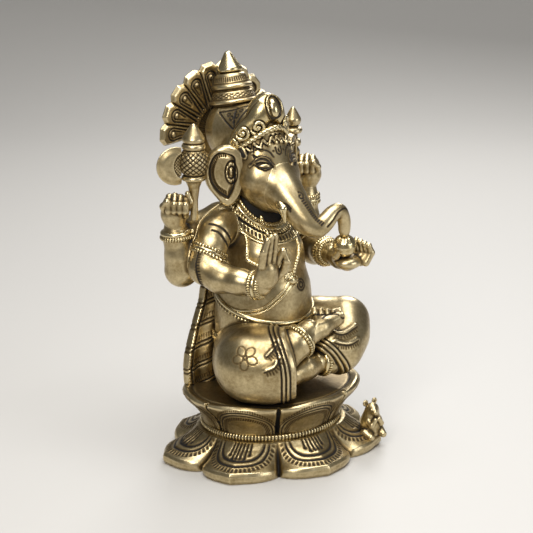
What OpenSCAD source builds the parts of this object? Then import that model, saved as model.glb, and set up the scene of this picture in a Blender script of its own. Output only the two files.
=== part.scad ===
// Seated Ganesha idol in cast brass, on a lotus seat and a seven-petal lotus base.
// +Z is up, the idol faces -Y, and its own left hand side is towards +X.
// The origin is on the table, at the middle of the base's outline box.

/* [Base] */
// Length of the base across its petals, left to right
base_length = 182; // [178:1:186]
// Depth of the oval that the petal tips lie on, front to back
base_depth = 152; // [148:1:156]
// Number of big petals round the base
petals = 7; // [5:2:9]
// How far the valleys between the petals cut in, as a share of the radius
petal_dip = 0.17; // [0.1:0.01:0.22]
// How far the front petal is turned from straight ahead, in degrees; below zero is to the idol's right
petal_turn = -4; // [-12:1:12]
// Thickness of the base at the petal tips
rim_h = 6.5; // [5.5:0.5:8]
// Height of the base at its middle
base_h = 24; // [22:1:25]
// Wall of the hollow castings
wall = 4; // [3.5:0.25:5]

/* [Seat] */
// Length of the seat's flared rim, left to right
seat_length = 146; // [140:1:150]
// Depth of the seat's flared rim, front to back
seat_depth = 122; // [118:1:126]
// Length of the seat's waist, left to right
waist_length = 112; // [108:1:116]
// Depth of the seat's waist, front to back
waist_depth = 94; // [90:1:98]
// Height of the collar between the base and the seat
collar_h = 4; // [3:0.5:5]
// Height of the seat's top face above the table
seat_top = 54; // [53:1:55]

/* [Head] */
// Lean of the crown's tiers towards the back, in degrees
crown_lean = 12; // [8:1:14]
// Height of the crown's tiers and finial along their own axis
crown_h = 41; // [38:0.5:44]
// Radius of the feather halo behind the crown
halo_r = 54.5; // [50:0.5:58]
// Number of feathers in the halo
feathers = 10; // [8:2:12]

/* [Fasteners] */
// Radius of the bolts' shanks
bolt_r = 3; // [2.5:0.25:3]
// Radius of the bolts' heads
bolt_head_r = 5.5; // [5:0.25:6]

/* [Hidden] */

brass = "#b59a5b";
bright_brass = "#c9b071";
dark_brass = "#8f7740";
steel = "#8a8a86";

// Sides of the balls that the soft shapes are hulled from, and of round turned work
ball_sides = 12;
fine_sides = 6;
round_sides = 96;

// With an odd number of petals the outline isn't centred on its oval, so the whole
// drawing is moved until the middle of the outline's box is on the origin.
outline_steps = petals * 12;
seat_steps = 56;
outline = petal_outline(base_length / 2, base_depth / 2, petal_dip);
outline_x = [for (p = outline) p.x];
outline_y = [for (p = outline) p.y];
outline_shift = -[min(outline_x) + max(outline_x), min(outline_y) + max(outline_y)] / 2;

seat_bottom = base_h + collar_h;
roof_h = base_h - wall;
boss_r = 8;
seat_bolt_x = 34;
figure_bolt_x = 29.5;
figure_bolt_y = 14;
bolt_gap = 0.2;
bolt_head_h = 4;

// Each limb is a row of balls: x, y, z and radius.
torso_core = [
    [0, 14, 66, 36], [-1, 9, 96, 35.5], [-1.5, 8, 114, 35.5], [-1.5, 7.5, 130, 33.5],
    [-1, 12, 149, 30], [-1.5, 17, 167, 26.5], [-2, 20, 183, 24]
];
torso_shoulders = [[-31, 22, 182, 14], [-2, 21, 185, 20], [28, 23, 182, 13.5]];
torso_neck = [[-2, 21, 185, 21], [-3, 19, 202, 20]];
torso_cavity = [
    [0, 14, 54, 23], [0, 12, 78, 28.5], [-1, 10, 96, 30.5], [-1.5, 9, 112, 30.5],
    [-1.5, 9, 128, 28], [-1, 15, 158, 20]
];

right_thigh = [
    [-18, 10, 83, 24.5], [-31, -12, 83, 26.5], [-40, -27, 84, 27.5], [-30, -38, 83.5, 26.5],
    [-13, -43, 83.5, 25.5]
];
right_hem = [-12, -44, 84];
right_shin = [[-20, -38, 91, 15], [-10, -42, 98, 11.5], [3, -41, 105, 9]];
left_thigh = [
    [28, 12, 86, 27], [42, -6, 91, 23], [54.5, -21, 95, 17.5], [48, -30, 88, 17.5],
    [37, -35, 82, 18], [24, -37, 86, 15]
];
left_hem = [23, -48.6, 73.6];
left_shin = [[40, -36, 76, 12], [24, -39, 76, 9.5], [12, -39, 77.5, 9]];

// The upturned right sole is a wedge: its upper and its lower corners.
right_sole = [
    [2, -48, 99, 3], [30, -47.5, 109.5, 3], [35.5, -34, 112, 3], [16, -32, 114, 3],
    [3.5, -46, 96, 3], [31.5, -45.5, 106.5, 3], [36.5, -32, 109, 3], [17, -30, 111, 3]
];
right_toes = [for (i = [0 : 4]) [17 + 4.7 * i, -31.4 - 0.4 * i, 116.4 - 0.55 * i, 2.2]];
left_sole = [[10, -39, 77, 9], [0, -40, 76, 9.5], [-12, -40, 73, 9]];

skull = [[-3, 17, 230, 25], [-3, 8, 222, 23.5], [-3, 20, 242, 24.5]];
brow = [[-3, 9.5, 245, 19], [-10, 1.5, 233, 11.5], [3, 2, 233, 11], [-3, 3, 232, 15]];
cheeks = [[-14, -3, 218, 12], [8, -3, 218, 12], [-3, -2, 209, 14]];
eyes = [[-16.6, -10, 231.2, 3.4], [10.6, -10, 231.2, 3.4]];
jaw = [[-3, 2, 206, 13], [-3, -13, 202, 8]];
trunk_line = [
    [-3, -7.5, 219, 14.8], [-3, -18.5, 210.5, 13.6], [-2, -30, 201, 11], [1, -40, 191, 9],
    [6, -46, 187, 7.2], [12, -48.5, 190.5, 6.2], [19, -48.5, 196, 5.4], [26, -48.5, 197, 5],
    [31, -48, 189, 4.4], [32.5, -47, 179, 3.8]
];
right_tusk_line = [[-11.8, -22.2, 207, 3.8], [-14.2, -31, 201.5, 3.6], [-14.2, -33.2, 191.9, 1.2]];
left_tusk_line = [[5.8, -22.2, 207, 3.8], [8.2, -31, 201.5, 3.6], [8.2, -32.2, 197.5, 3]];

right_ear_rim = [
    [-26.5, 6, 239], [-34, 12, 243], [-41.5, 18, 239], [-45, 21.5, 228], [-43.5, 21, 216],
    [-38, 16, 206], [-33.5, 11, 200.5], [-29, 6.5, 207], [-26.5, 4, 220]
];
left_ear_rim = [for (p = right_ear_rim) [-6 - p.x, p.y, p.z]];
ear_r = 3;

crown_at = [-4.5, 39.9, 268];
dome = [[-4.5, 34, 249, 26], [-4, 16, 252, 20.5], [-4, 15, 256, 18.5]];
crest = [
    [-23.5, 13, 247, 5], [-20, 7.5, 255.5, 6.4], [-13, 3, 262, 7.6], [-8, 2.5, 269, 9.6], [-4, 2.5, 271.5, 10.5],
    [0, 2.5, 269, 9.6], [5, 3, 262, 7.4], [11, 7.5, 255.5, 6.2], [15, 13, 247, 5]
];
brow_band = [
    [-26.5, 8, 242.5, 2.5], [-20.4, -1.6, 250, 2.5], [-12, -7.4, 256, 2.5], [-4, -9.8, 258.2, 2.5],
    [4, -7.4, 256, 2.5], [12, -1.6, 250, 2.5], [18.5, 8, 242.5, 2.5]
];
jewel_at = [-4, -8, 273.4];
jewel_tilt = 67;

halo_at = [-4, 61, 244];
halo_t = 5;
halo_hub_r = 24;
feather_step = 19.2;

right_front_upper = [[-32, 20, 183, 14], [-43, 14, 179, 12.5], [-53, 9, 167, 12], [-60, 5, 156, 12]];
right_front_lower = [
    [-60, 5, 156, 12], [-56, -8, 150.5, 11], [-50, -24, 150, 9.4], [-44, -37, 149, 7.8], [-42.6, -40.5, 150, 7.6]
];
left_front_upper = [[30, 21, 181, 13.5], [41, 23, 172, 12.5], [50, 22, 159, 12], [51, 20, 151, 12]];
left_front_lower = [[51, 20, 151, 12], [47, 4, 152, 11.5], [42.5, -12, 154.5, 10], [40.5, -24, 155.5, 8]];
right_rear_upper = [[-32, 24, 185, 13], [-46, 30, 178, 12.5], [-57, 31, 164, 12], [-63, 31, 149, 12]];
right_rear_lower = [[-63, 31, 149, 12], [-65.5, 30, 161, 10.5], [-68, 31, 176, 9], [-68.5, 31.5, 184, 8.5]];
left_rear_upper = [[28, 25, 184, 13], [42, 29, 175, 12], [53, 30, 164, 11.5], [58, 29, 156, 11.5]];
left_rear_lower = [[58, 29, 156, 11.5], [58.5, 29, 170, 10], [58, 28, 186, 8.5], [58, 27.5, 196, 8]];

mace_at = [-58, 21, 203];
staff_at = [50.2, 35.5, 202];
modak_at = [34, -45.5, 168];
pendant_at = [-1.5, -27, 143];
mouse_at = [60, -50.5, 7.5];
mouse_foot = 7.2;

// ---- helpers ----

module ball(p, grow = 0, sides = ball_sides) {
    translate([p.x, p.y, p.z])
        sphere(r = p[3] + grow, $fn = sides);
}

// A limb: a hull over each pair of neighbouring balls.
module limb(line, grow = 0, sides = ball_sides) {
    for (i = [0 : len(line) - 2])
        hull() {
            ball(line[i], grow, sides);
            ball(line[i + 1], grow, sides);
        }
}

// A round lump: one hull over every ball.
module lump(line, grow = 0, sides = ball_sides) {
    hull()
        for (p = line)
            ball(p, grow, sides);
}

// A closed skin over a stack of rings, with a fan of triangles at each end.
module skin(rings) {
    n = len(rings[0]);
    m = len(rings);
    first_mid = ring_middle(rings[0]);
    last_mid = ring_middle(rings[m - 1]);
    last_ring = 1 + (m - 1) * n;
    polyhedron(
        points = concat([first_mid], [for (ring = rings) for (p = ring) p], [last_mid]),
        faces = concat(
            [for (i = [0 : n - 1]) [0, 1 + i, 1 + (i + 1) % n]],
            [for (j = [0 : m - 2]) for (i = [0 : n - 1]) side_low(1 + j * n, i, n)],
            [for (j = [0 : m - 2]) for (i = [0 : n - 1]) side_high(1 + j * n, i, n)],
            [for (i = [0 : n - 1]) [last_ring + n, last_ring + (i + 1) % n, last_ring + i]]
        )
    );
}

function side_low(start, i, n) = [start + i, start + n + i, start + n + (i + 1) % n];
function side_high(start, i, n) = [start + i, start + n + (i + 1) % n, start + (i + 1) % n];
function total(list, i = 0) = i == len(list) - 1 ? list[i] : list[i] + total(list, i + 1);
function ring_middle(ring) = total(ring) / len(ring);
function petal_wave(t) = pow(abs(cos(petals * (t - 270 - petal_turn) / 2)), 0.55);

// The outline of the petals on an oval of radii rx and ry.
function petal_outline(rx, ry, dip) = [
    for (i = [0 : outline_steps - 1])
        let (t = 270 + petal_turn + 360 * i / outline_steps)
            (1 - dip + dip * petal_wave(t)) * [rx * cos(t), ry * sin(t)]
];
function lift(flat, z) = [for (p = flat) [p.x + outline_shift.x, p.y + outline_shift.y, z]];
function base_ring(share, dip, z) =
    lift(petal_outline(base_length / 2 * share, base_depth / 2 * share, dip), z);
function oval_ring(rx, ry, z) = lift(petal_outline(rx, ry, 0), z);
function oval(rx, ry) = [
    for (i = [0 : seat_steps - 1])
        let (t = 360 * i / seat_steps)
            [rx * cos(t), ry * sin(t)]
];
function plain_oval(rx, ry, z) = lift(oval(rx, ry), z);

// The figure is drawn about the oval's centre.
module placed() {
    translate([outline_shift.x, outline_shift.y, 0])
        children();
}

// A big block that fills everything under a height.
module below(z) {
    translate([-150, -150, z - 200])
        cube([300, 300, 200]);
}

// Everything past a plane through a point, facing along the X axis dipped and then turned by a heading.
module beyond(p, heading, dip = 0) {
    translate(p)
        rotate([0, dip, heading])
            translate([0, -80, -80])
                cube([80, 160, 160]);
}

// A flat slab through a point, tilted about X and then turned about Y.
module slab(p, thick, tilt_x, tilt_y = 0) {
    translate(p)
        rotate([0, tilt_y, 0])
            rotate([tilt_x, 0, 0])
                cube([200, 200, thick], center = true);
}

// A disc through a point whose axis points from one ball of a limb to another.
module disc_across(p, from, to, thick, r) {
    run = [to.x - from.x, to.y - from.y, to.z - from.z];
    flat = norm([run.x, run.y]);
    translate(p)
        rotate([0, atan2(flat, run.z), atan2(run.y, run.x)])
            cylinder(r = r, h = thick, center = true, $fn = 32);
}

module on_crown() {
    placed()
        translate(crown_at)
            rotate([-crown_lean, 0, 0])
                children();
}

// ---- bodies that other sub-parts are cut to ----

module torso_shape(grow = 0) {
    limb(torso_core, grow, 18);
    limb(torso_shoulders, grow);
    limb(torso_neck, grow);
}

module right_leg_shape(grow = 0) {
    difference() {
        limb(right_thigh, grow, 16);
        beyond(right_hem, -39);
    }
    limb(right_shin, grow);
}

module left_leg_shape(grow = 0) {
    difference() {
        limb(left_thigh, grow, 16);
        beyond(left_hem, 188, 35);
    }
    limb(left_shin, grow);
}

module head_shape() {
    lump(skull, 0, 20);
    lump(brow, 0, 16);
    lump(cheeks);
    for (eye = eyes)
        ball(eye, 0, 10);
    lump(jaw);
}

module dome_shape() {
    difference() {
        lump(dome, 0, 20);
        crown_plane();
    }
}

module crest_shape() {
    lump(crest);
}

module right_front_arm_shape(grow = 0) {
    limb(right_front_upper, grow);
    limb(right_front_lower, grow);
}

module left_front_arm_shape(grow = 0) {
    limb(left_front_upper, grow);
    limb(left_front_lower, grow);
}

module right_rear_arm_shape(grow = 0) {
    limb(right_rear_upper, grow);
    limb(right_rear_lower, grow);
}

module left_rear_arm_shape(grow = 0) {
    limb(left_rear_upper, grow);
    limb(left_rear_lower, grow);
}

// ---- base and seat ----

// The base is a hollow casting: cavity roof, cavity wall, foot, petals and top.
module base_shape() {
    skin([
        oval_ring(waist_length / 2 - 4, waist_depth / 2 - 4, roof_h),
        base_ring(0.76, petal_dip * 0.6, 10),
        base_ring(0.9, petal_dip, 4),
        base_ring(0.935, petal_dip, 0),
        base_ring(0.985, petal_dip, 0),
        base_ring(1, petal_dip, 1.5),
        base_ring(1, petal_dip, rim_h - 0.8),
        base_ring(0.985, petal_dip, rim_h + 1),
        base_ring(0.94, petal_dip, rim_h + 3),
        base_ring(0.84, petal_dip * 0.8, rim_h + 7),
        base_ring(0.72, petal_dip * 0.4, base_h - 4),
        oval_ring(waist_length / 2 + 4, waist_depth / 2 + 3, base_h)
    ]);
}

module lotus_base() {
    color(brass)
        difference() {
            base_shape();
            placed()
                for (side = [-1, 1])
                    translate([side * seat_bolt_x, 0, roof_h - 1])
                        cylinder(r = bolt_r + bolt_gap, h = wall + 2, $fn = 48);
        }
}

module beaded_collar() {
    color(bright_brass)
        placed()
            translate([0, 0, base_h])
                linear_extrude(height = collar_h)
                    difference() {
                        polygon(oval(waist_length / 2 + 2, waist_depth / 2 + 2));
                        polygon(oval(waist_length / 2 - 8, waist_depth / 2 - 8));
                    }
}

// The seat is a bell with a closed top, two bosses inside it and a scalloped rim.
module lotus_seat() {
    wide = seat_length / 2;
    deep = seat_depth / 2;
    waist_x = waist_length / 2;
    waist_y = waist_depth / 2;
    color(brass)
        difference() {
            union() {
                skin([
                    plain_oval(wide * 0.78, deep * 0.78, seat_top - wall),
                    plain_oval(waist_x - 5, waist_y - 5, seat_bottom + 9),
                    plain_oval(waist_x - 7, waist_y - 7, seat_bottom),
                    plain_oval(waist_x, waist_y, seat_bottom),
                    plain_oval(waist_x + 2.5, waist_y + 2.2, seat_bottom + 5),
                    plain_oval(waist_x + 7.5, waist_y + 6.8, seat_bottom + 13),
                    plain_oval(waist_x + 13.5, waist_y + 11.7, seat_bottom + 19),
                    plain_oval(wide, deep, seat_top - 2.5),
                    plain_oval(wide - 0.5, deep - 0.5, seat_top + 0.5),
                    plain_oval(wide - 3, deep - 3, seat_top + 1),
                    plain_oval(wide - 6, deep - 6, seat_top)
                ]);
                placed()
                    for (side = [-1, 1])
                        translate([side * seat_bolt_x, 0, seat_bottom])
                            cylinder(r = boss_r, h = seat_top - seat_bottom - 2, $fn = 48);
            }
            placed() {
                for (side = [-1, 1])
                    translate([side * seat_bolt_x, 0, seat_bottom - 1])
                        cylinder(r = bolt_r, h = 16, $fn = 48);
                for (side = [-1, 1])
                    translate([side * figure_bolt_x, figure_bolt_y, seat_top - wall - 1])
                        cylinder(r = bolt_r + bolt_gap, h = wall + 2, $fn = 48);
            }
        }
}

// A round-headed bolt that stands head down, with its shank up from the origin.
module bolt(shank) {
    translate([0, 0, -bolt_head_h])
        cylinder(r = bolt_head_r, h = bolt_head_h, $fn = 48);
    cylinder(r = bolt_r, h = shank, $fn = 48);
}

module seat_bolts() {
    color(steel)
        placed()
            for (side = [-1, 1])
                translate([side * seat_bolt_x, 0, roof_h])
                    bolt(wall + collar_h + 14);
}

module figure_bolts() {
    color(steel)
        placed()
            for (side = [-1, 1])
                translate([side * figure_bolt_x, figure_bolt_y, seat_top - wall])
                    bolt(wall + 12);
}

// ---- body ----

module torso() {
    color(brass)
        placed()
            difference() {
                torso_shape();
                limb(torso_cavity);
                below(seat_top);
                for (side = [-1, 1])
                    translate([side * figure_bolt_x, figure_bolt_y, seat_top - 1])
                        cylinder(r = bolt_r + 0.1, h = 13.5, $fn = 32);
            }
}

module waist_belt() {
    color(bright_brass)
        placed()
            difference() {
                intersection() {
                    torso_shape(2);
                    slab([0, 0, 92], 7, -4);
                }
                torso_shape();
                right_leg_shape();
                left_leg_shape();
            }
}

module belly_cord() {
    color(bright_brass)
        placed()
            difference() {
                intersection() {
                    torso_shape(2.2);
                    slab([0, -20, 113], 6, 16);
                }
                torso_shape();
            }
}

module sacred_thread() {
    color(bright_brass)
        placed()
            difference() {
                intersection() {
                    torso_shape(1.8);
                    union() {
                        intersection() {
                            slab([2, 0, 143], 4, -12, -46);
                            below(172);
                        }
                        strings();
                    }
                }
                torso_shape();
                right_front_arm_shape();
                left_front_arm_shape();
                right_rear_arm_shape();
                left_rear_arm_shape();
                belly_cord_space();
                pendant_space();
            }
}

// The two strings that run up the chest from the pendant.
module strings() {
    intersection() {
        union() {
            slab([-1.5, -28, 143], 2.6, 0, 76);
            slab([-1.5, -28, 143], 2.6, 0, -73);
        }
        translate([-60, -70, 143])
            cube([120, 66, 42]);
    }
}

module belly_cord_space() {
    slab([0, -20, 113], 6, 16);
}

module pendant_space() {
    translate(pendant_at)
        rotate([78, 0, 0])
            cylinder(r = 7.5, h = 20, center = true, $fn = 48);
}

module necklace() {
    color(bright_brass)
        placed()
            difference() {
                intersection() {
                    torso_shape(2.6);
                    union() {
                        slab([-2, 5, 184], 9, 30);
                        slab([-2, 5.7, 201.4], 10, 49.5);
                    }
                    below(212);
                }
                torso_shape();
                right_front_arm_shape();
                left_front_arm_shape();
                right_rear_arm_shape();
                left_rear_arm_shape();
                back_shawl_shape();
            }
}

module pendant() {
    color(bright_brass)
        placed()
            difference() {
                union() {
                    pendant_disc(6, 2.4);
                    pendant_disc(4, 4);
                }
                torso_shape();
            }
}

module pendant_disc(r, out) {
    translate(pendant_at)
        rotate([78, 0, 0])
            translate([0, 0, -8])
                cylinder(r = r, h = 8 + out, $fn = 48);
}

// ---- legs and feet ----

module right_leg() {
    color(brass)
        placed()
            difference() {
                right_leg_shape();
                torso_shape();
                below(seat_top);
            }
}

module left_leg() {
    color(brass)
        placed()
            difference() {
                left_leg_shape();
                torso_shape();
                right_leg_shape();
                below(seat_top);
            }
}

module right_foot() {
    color(brass)
        placed()
            difference() {
                union() {
                    lump(right_sole, 0, 12);
                    ball([14, -41, 106, 7.5]);
                    for (toe = right_toes)
                        hull() {
                            ball(toe, 0, fine_sides);
                            translate([-2, -4, -1])
                                ball(toe, 0, fine_sides);
                        }
                }
                right_leg_shape();
                left_leg_shape();
                torso_shape();
            }
}

module left_foot() {
    color(brass)
        placed()
            difference() {
                limb(left_sole, 0, 12);
                right_leg_shape();
                left_leg_shape();
                torso_shape();
            }
}

module right_anklet() {
    color(bright_brass)
        placed()
            difference() {
                intersection() {
                    limb(right_shin, 2.2);
                    disc_across([-6, -42, 100], right_shin[1], right_shin[2], 6, 18);
                }
                right_leg_shape();
                torso_shape();
            }
}

module left_anklet() {
    color(bright_brass)
        placed()
            difference() {
                intersection() {
                    limb(left_shin, 2.2);
                    disc_across([17, -39, 77], left_shin[1], left_shin[2], 6, 18);
                }
                left_leg_shape();
                right_leg_shape();
                torso_shape();
                left_foot_shape();
            }
}

module left_foot_shape() {
    limb(left_sole, 0, 12);
}

// The shawl hangs from the right shoulder down the back to the seat.
module back_shawl_shape() {
    // Rows of left edge, right edge, depth at the left edge and height.
    rows = [
        [-24, -6, 40, 190], [-25, -4, 46, 170], [-28, -7, 46, 145], [-33, -11, 45, 117],
        [-43, -20, 42, 97], [-52.5, -24, 38, 78], [-55, -22, 36, seat_top - 4]
    ];
    for (i = [0 : len(rows) - 2])
        hull()
            for (row = [rows[i], rows[i + 1]]) {
                translate([row[0], row[2], row[3]])
                    sphere(r = 3, $fn = fine_sides);
                translate([row[1], row[2] - 0.2 * (row[1] - row[0]), row[3]])
                    sphere(r = 3, $fn = fine_sides);
            }
}

module back_shawl() {
    color(brass)
        placed()
            difference() {
                back_shawl_shape();
                torso_shape();
                right_leg_shape();
                right_rear_arm_shape();
                right_front_arm_shape();
                below(seat_top);
            }
}

// ---- head ----

module crown_plane() {
    translate(crown_at)
        rotate([-crown_lean, 0, 0])
            cylinder(r = 60, h = 60, $fn = 32);
}

module head() {
    color(brass)
        placed()
            difference() {
                head_shape();
                torso_shape();
            }
}

module trunk() {
    color(brass)
        placed()
            difference() {
                limb(trunk_line);
                head_shape();
                modak_shape();
            }
}

module tusk(line) {
    placed()
        difference() {
            limb(line, 0, 10);
            head_shape();
            limb(trunk_line);
        }
}

module right_tusk() {
    color(bright_brass)
        tusk(right_tusk_line);
}

module left_tusk() {
    color(bright_brass)
        tusk(left_tusk_line);
}

// An ear is a thin plate with a thick rolled rim.
module ear_shape(rim) {
    middle = total(rim) / len(rim);
    for (i = [0 : len(rim) - 1])
        hull() {
            ball(concat(rim[i], ear_r), 0, fine_sides);
            ball(concat(rim[(i + 1) % len(rim)], ear_r), 0, fine_sides);
        }
    hull()
        for (p = rim)
            ball(concat(p, ear_r * 0.45), 0, fine_sides);
    ball(concat(middle, 5), 0, fine_sides);
}

module ear(rim) {
    placed()
        difference() {
            ear_shape(rim);
            head_shape();
            torso_shape();
            dome_shape();
            crest_shape();
            limb(brow_band, 0, fine_sides);
        }
}

module right_ear() {
    color(brass)
        ear(right_ear_rim);
}

module left_ear() {
    color(brass)
        ear(left_ear_rim);
}

// ---- crown: a dome with a raised front crest, and turned tiers that lean back ----

module crown_bowl() {
    color(brass)
        placed()
            difference() {
                dome_shape();
                head_shape();
            }
}

module diadem() {
    color(bright_brass)
        placed()
            difference() {
                crest_shape();
                lump(dome, 0, 20);
                head_shape();
                crown_tiers_space();
            }
}

module crown_band() {
    color(bright_brass)
        placed()
            difference() {
                limb(brow_band, 0, fine_sides);
                dome_shape();
                crest_shape();
                head_shape();
            }
}

module diadem_jewel() {
    color(bright_brass)
        placed()
            difference() {
                translate(jewel_at)
                    rotate([jewel_tilt, 0, 0])
                        scale([0.58, 1, 1])
                            cylinder(r = 7.3, h = 5, center = true, $fn = 48);
                crest_shape();
                lump(dome, 0, 20);
                head_shape();
            }
}

// The room that the tiers take, so that the crest stops against them.
module crown_tiers_space() {
    translate(crown_at)
        rotate([-crown_lean, 0, 0])
            rotate_extrude($fn = round_sides)
                polygon(concat(lower_tier_line, [[0, 11]]));
}

lower_tier_line = [[0, 0], [16.6, 0], [17.4, 1], [19.2, 2.2], [19.2, 3.4], [18.2, 4.3], [15.6, 9.4], [13.6, 11]];
upper_tier_line = [[0, 11], [13.2, 11], [13.8, 12.2], [15.8, 13.4], [15.8, 14.8], [14.8, 15.9], [11.2, 23], [10, 24]];
finial_line = [[0, 24], [7.8, 24], [8.4, 25], [9.8, 26.2], [9.6, 27.8], [8.8, 29.2], [3, 39], [1.8, 40.4]];

module crown_lower_tier() {
    color(brass)
        on_crown()
            rotate_extrude($fn = round_sides)
                polygon(concat(lower_tier_line, [[0, 11]]));
}

module crown_upper_tier() {
    color(brass)
        on_crown()
            rotate_extrude($fn = round_sides)
                polygon(concat(upper_tier_line, [[0, 24]]));
}

module crown_finial() {
    color(bright_brass)
        on_crown()
            rotate_extrude($fn = round_sides)
                polygon(concat(finial_line, [[0, crown_h]]));
}

// One feather, pointing up from the hub, with a flat end and cut corners.
module feather(long) {
    wide = 8.7;
    root = halo_hub_r - 6;
    polygon([
        [-3.6, root], [3.6, root], [wide, long * 0.84], [wide, long * 0.92], [wide * 0.52, long],
        [-wide * 0.52, long], [-wide, long * 0.92], [-wide, long * 0.84]
    ]);
}

module feather_halo() {
    color(brass)
        placed()
            translate(halo_at)
                rotate([90, 0, 0])
                    translate([0, 0, -halo_t])
                        linear_extrude(height = halo_t)
                            union() {
                                circle(r = halo_hub_r, $fn = round_sides);
                                for (i = [0 : feathers - 1]) {
                                    a = (i - (feathers - 1) / 2) * feather_step;
                                    rotate(a)
                                        feather(halo_r);
                                }
                            }
}

module halo_strut() {
    color(dark_brass)
        placed()
            difference() {
                translate([halo_at.x, halo_at.y, halo_at.z + 2])
                    rotate([90, 0, 0])
                        cylinder(r = 9, h = 16, $fn = 48);
                dome_shape();
                head_shape();
            }
}

// ---- arms and hands ----

module right_front_arm() {
    color(brass)
        placed()
            difference() {
                right_front_arm_shape();
                torso_shape();
            }
}

module left_front_arm() {
    color(brass)
        placed()
            difference() {
                left_front_arm_shape();
                torso_shape();
            }
}

module right_rear_arm() {
    color(brass)
        placed()
            difference() {
                right_rear_arm_shape();
                torso_shape();
                right_front_arm_shape();
            }
}

module left_rear_arm() {
    color(brass)
        placed()
            difference() {
                left_rear_arm_shape();
                torso_shape();
                left_front_arm_shape();
            }
}

module finger(a, b, c, r) {
    hull() {
        ball(concat(a, r + 0.4), 0, fine_sides);
        ball(concat(b, r + 0.2), 0, fine_sides);
    }
    hull() {
        ball(concat(b, r + 0.2), 0, fine_sides);
        ball(concat(c, r - 0.6), 0, fine_sides);
    }
}

module right_palm() {
    hull() {
        ball([-43.5, -38.5, 150, 7.4], 0, 10);
        ball([-46, -44, 166, 5], 0, 10);
        ball([-35, -44, 166, 5], 0, 10);
    }
}

// The right front hand is raised open, palm forward, to bless.
module right_front_hand() {
    color(brass)
        placed()
            difference() {
                union() {
                    right_palm();
                    for (i = [0 : 2])
                        finger(
                            [-46.8 + i * 4.8, -46, 167],
                            [-47 + i * 4.8, -48.6, 178],
                            [-44.4 + i * 3.6, -49.6, 188],
                            2.6
                        );
                    finger([-33.5, -46, 166], [-29.5, -49.5, 176], [-26.8, -51.5, 168], 2.6);
                    finger([-36, -41, 154], [-27, -47, 160], [-27.4, -50.5, 168.5], 3);
                }
                right_front_arm_shape();
            }
}

// The left front hand is cupped palm up under the sweet.
module left_front_hand() {
    color(brass)
        placed()
            difference() {
                union() {
                    hull() {
                        ball([40.5, -24, 155, 7.4], 0, 10);
                        ball([44, -45, 154, 5.6], 0, 10);
                        ball([33, -47, 154, 5.6], 0, 10);
                    }
                    for (i = [0 : 3])
                        finger(
                            [41.5 + 2.6 * i, -43.5 - 3.2 * i, 153],
                            [48.6 + 1.7 * i, -46 - 2.8 * i, 160.5],
                            [46 + 1.8 * i, -45.5 - 2.8 * i, 170 - 1.2 * i],
                            2.5
                        );
                    finger([34, -36, 155], [27.5, -43, 160], [28.5, -49, 167], 2.8);
                }
                left_front_arm_shape();
                modak_shape();
            }
}

// A fist that turns up at the end of a rear arm. Its fingers stand side by side, and curl over and
// down on the side that front points to.
module fist(at, wrist_r, reach, front) {
    up = [0, 0, 1];
    hull() {
        ball(concat(at - 12 * up, wrist_r));
        ball(concat(at - 3 * up - 2 * reach, 8.4), 0, 10);
        ball(concat(at + 4 * up - 2 * reach, 7.8), 0, 10);
        ball(concat(at + 4 * reach - up, 6.4), 0, 10);
    }
    for (i = [0 : 3]) {
        root = at + (4.3 * i - 4.6) * reach + 0.5 * i * front;
        knuckle = root + 7.4 * front + 6.5 * up;
        finger(root + 5 * up - 3 * front, root + 11 * up + 1.5 * front, knuckle, 2.5);
        finger(knuckle, root + 7.6 * front + 1.5 * up, root + 4.4 * front - 2.5 * up, 2.4);
    }
    finger(at - 6.4 * reach - 3 * up, at - 8.6 * reach + 5 * front + 4 * up, at - 5.6 * reach + 8 * front + 8.4 * up, 2.9);
    finger(at + 8 * reach + 2 * up, at + 11.6 * reach + 3.6 * front + 8 * up, at + 9.6 * reach + 4.4 * front + 14 * up, 2.3);
}

module right_rear_hand() {
    color(brass)
        placed()
            difference() {
                fist([-68.5, 30, 197], 7.4, [0.74, -0.67, 0], [-0.67, -0.74, 0]);
                right_rear_arm_shape();
                mace_shape();
            }
}

module left_rear_hand() {
    color(brass)
        placed()
            difference() {
                fist([58, 27.5, 209], 7, [-0.7, 0.71, 0], [-0.71, -0.7, 0]);
                left_rear_arm_shape();
                staff_shape();
            }
}

module right_front_bracelet() {
    color(bright_brass)
        placed()
            difference() {
                intersection() {
                    right_front_arm_shape(2.4);
                    disc_across([-43.9, -37.4, 149], right_front_lower[2], right_front_lower[3], 8, 16);
                }
                right_front_arm_shape();
                right_palm();
            }
}

module left_front_bracelet() {
    color(bright_brass)
        placed()
            difference() {
                intersection() {
                    left_front_arm_shape(2.4);
                    disc_across([41.7, -17.5, 155], left_front_lower[2], left_front_lower[3], 7, 16);
                }
                left_front_arm_shape();
                left_front_hand_space();
            }
}

module left_front_hand_space() {
    ball([40.5, -24, 155, 7.6], 0, 10);
}

module right_rear_bracelet() {
    color(bright_brass)
        placed()
            difference() {
                intersection() {
                    right_rear_arm_shape(2.4);
                    disc_across([-68, 31, 178], right_rear_lower[1], right_rear_lower[2], 7, 18);
                }
                right_rear_arm_shape();
            }
}

module left_rear_bracelet() {
    color(bright_brass)
        placed()
            difference() {
                intersection() {
                    left_rear_arm_shape(2.4);
                    disc_across([58, 28, 187], left_rear_lower[1], left_rear_lower[2], 6, 18);
                }
                left_rear_arm_shape();
            }
}

module right_armlet() {
    color(bright_brass)
        placed()
            difference() {
                intersection() {
                    right_front_arm_shape(2);
                    disc_across([-53, 8, 165.5], [0, 0, 0], [0.51, 0.05, 0.85], 7, 18);
                }
                right_front_arm_shape();
                torso_shape();
                right_rear_arm_shape();
            }
}

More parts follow.
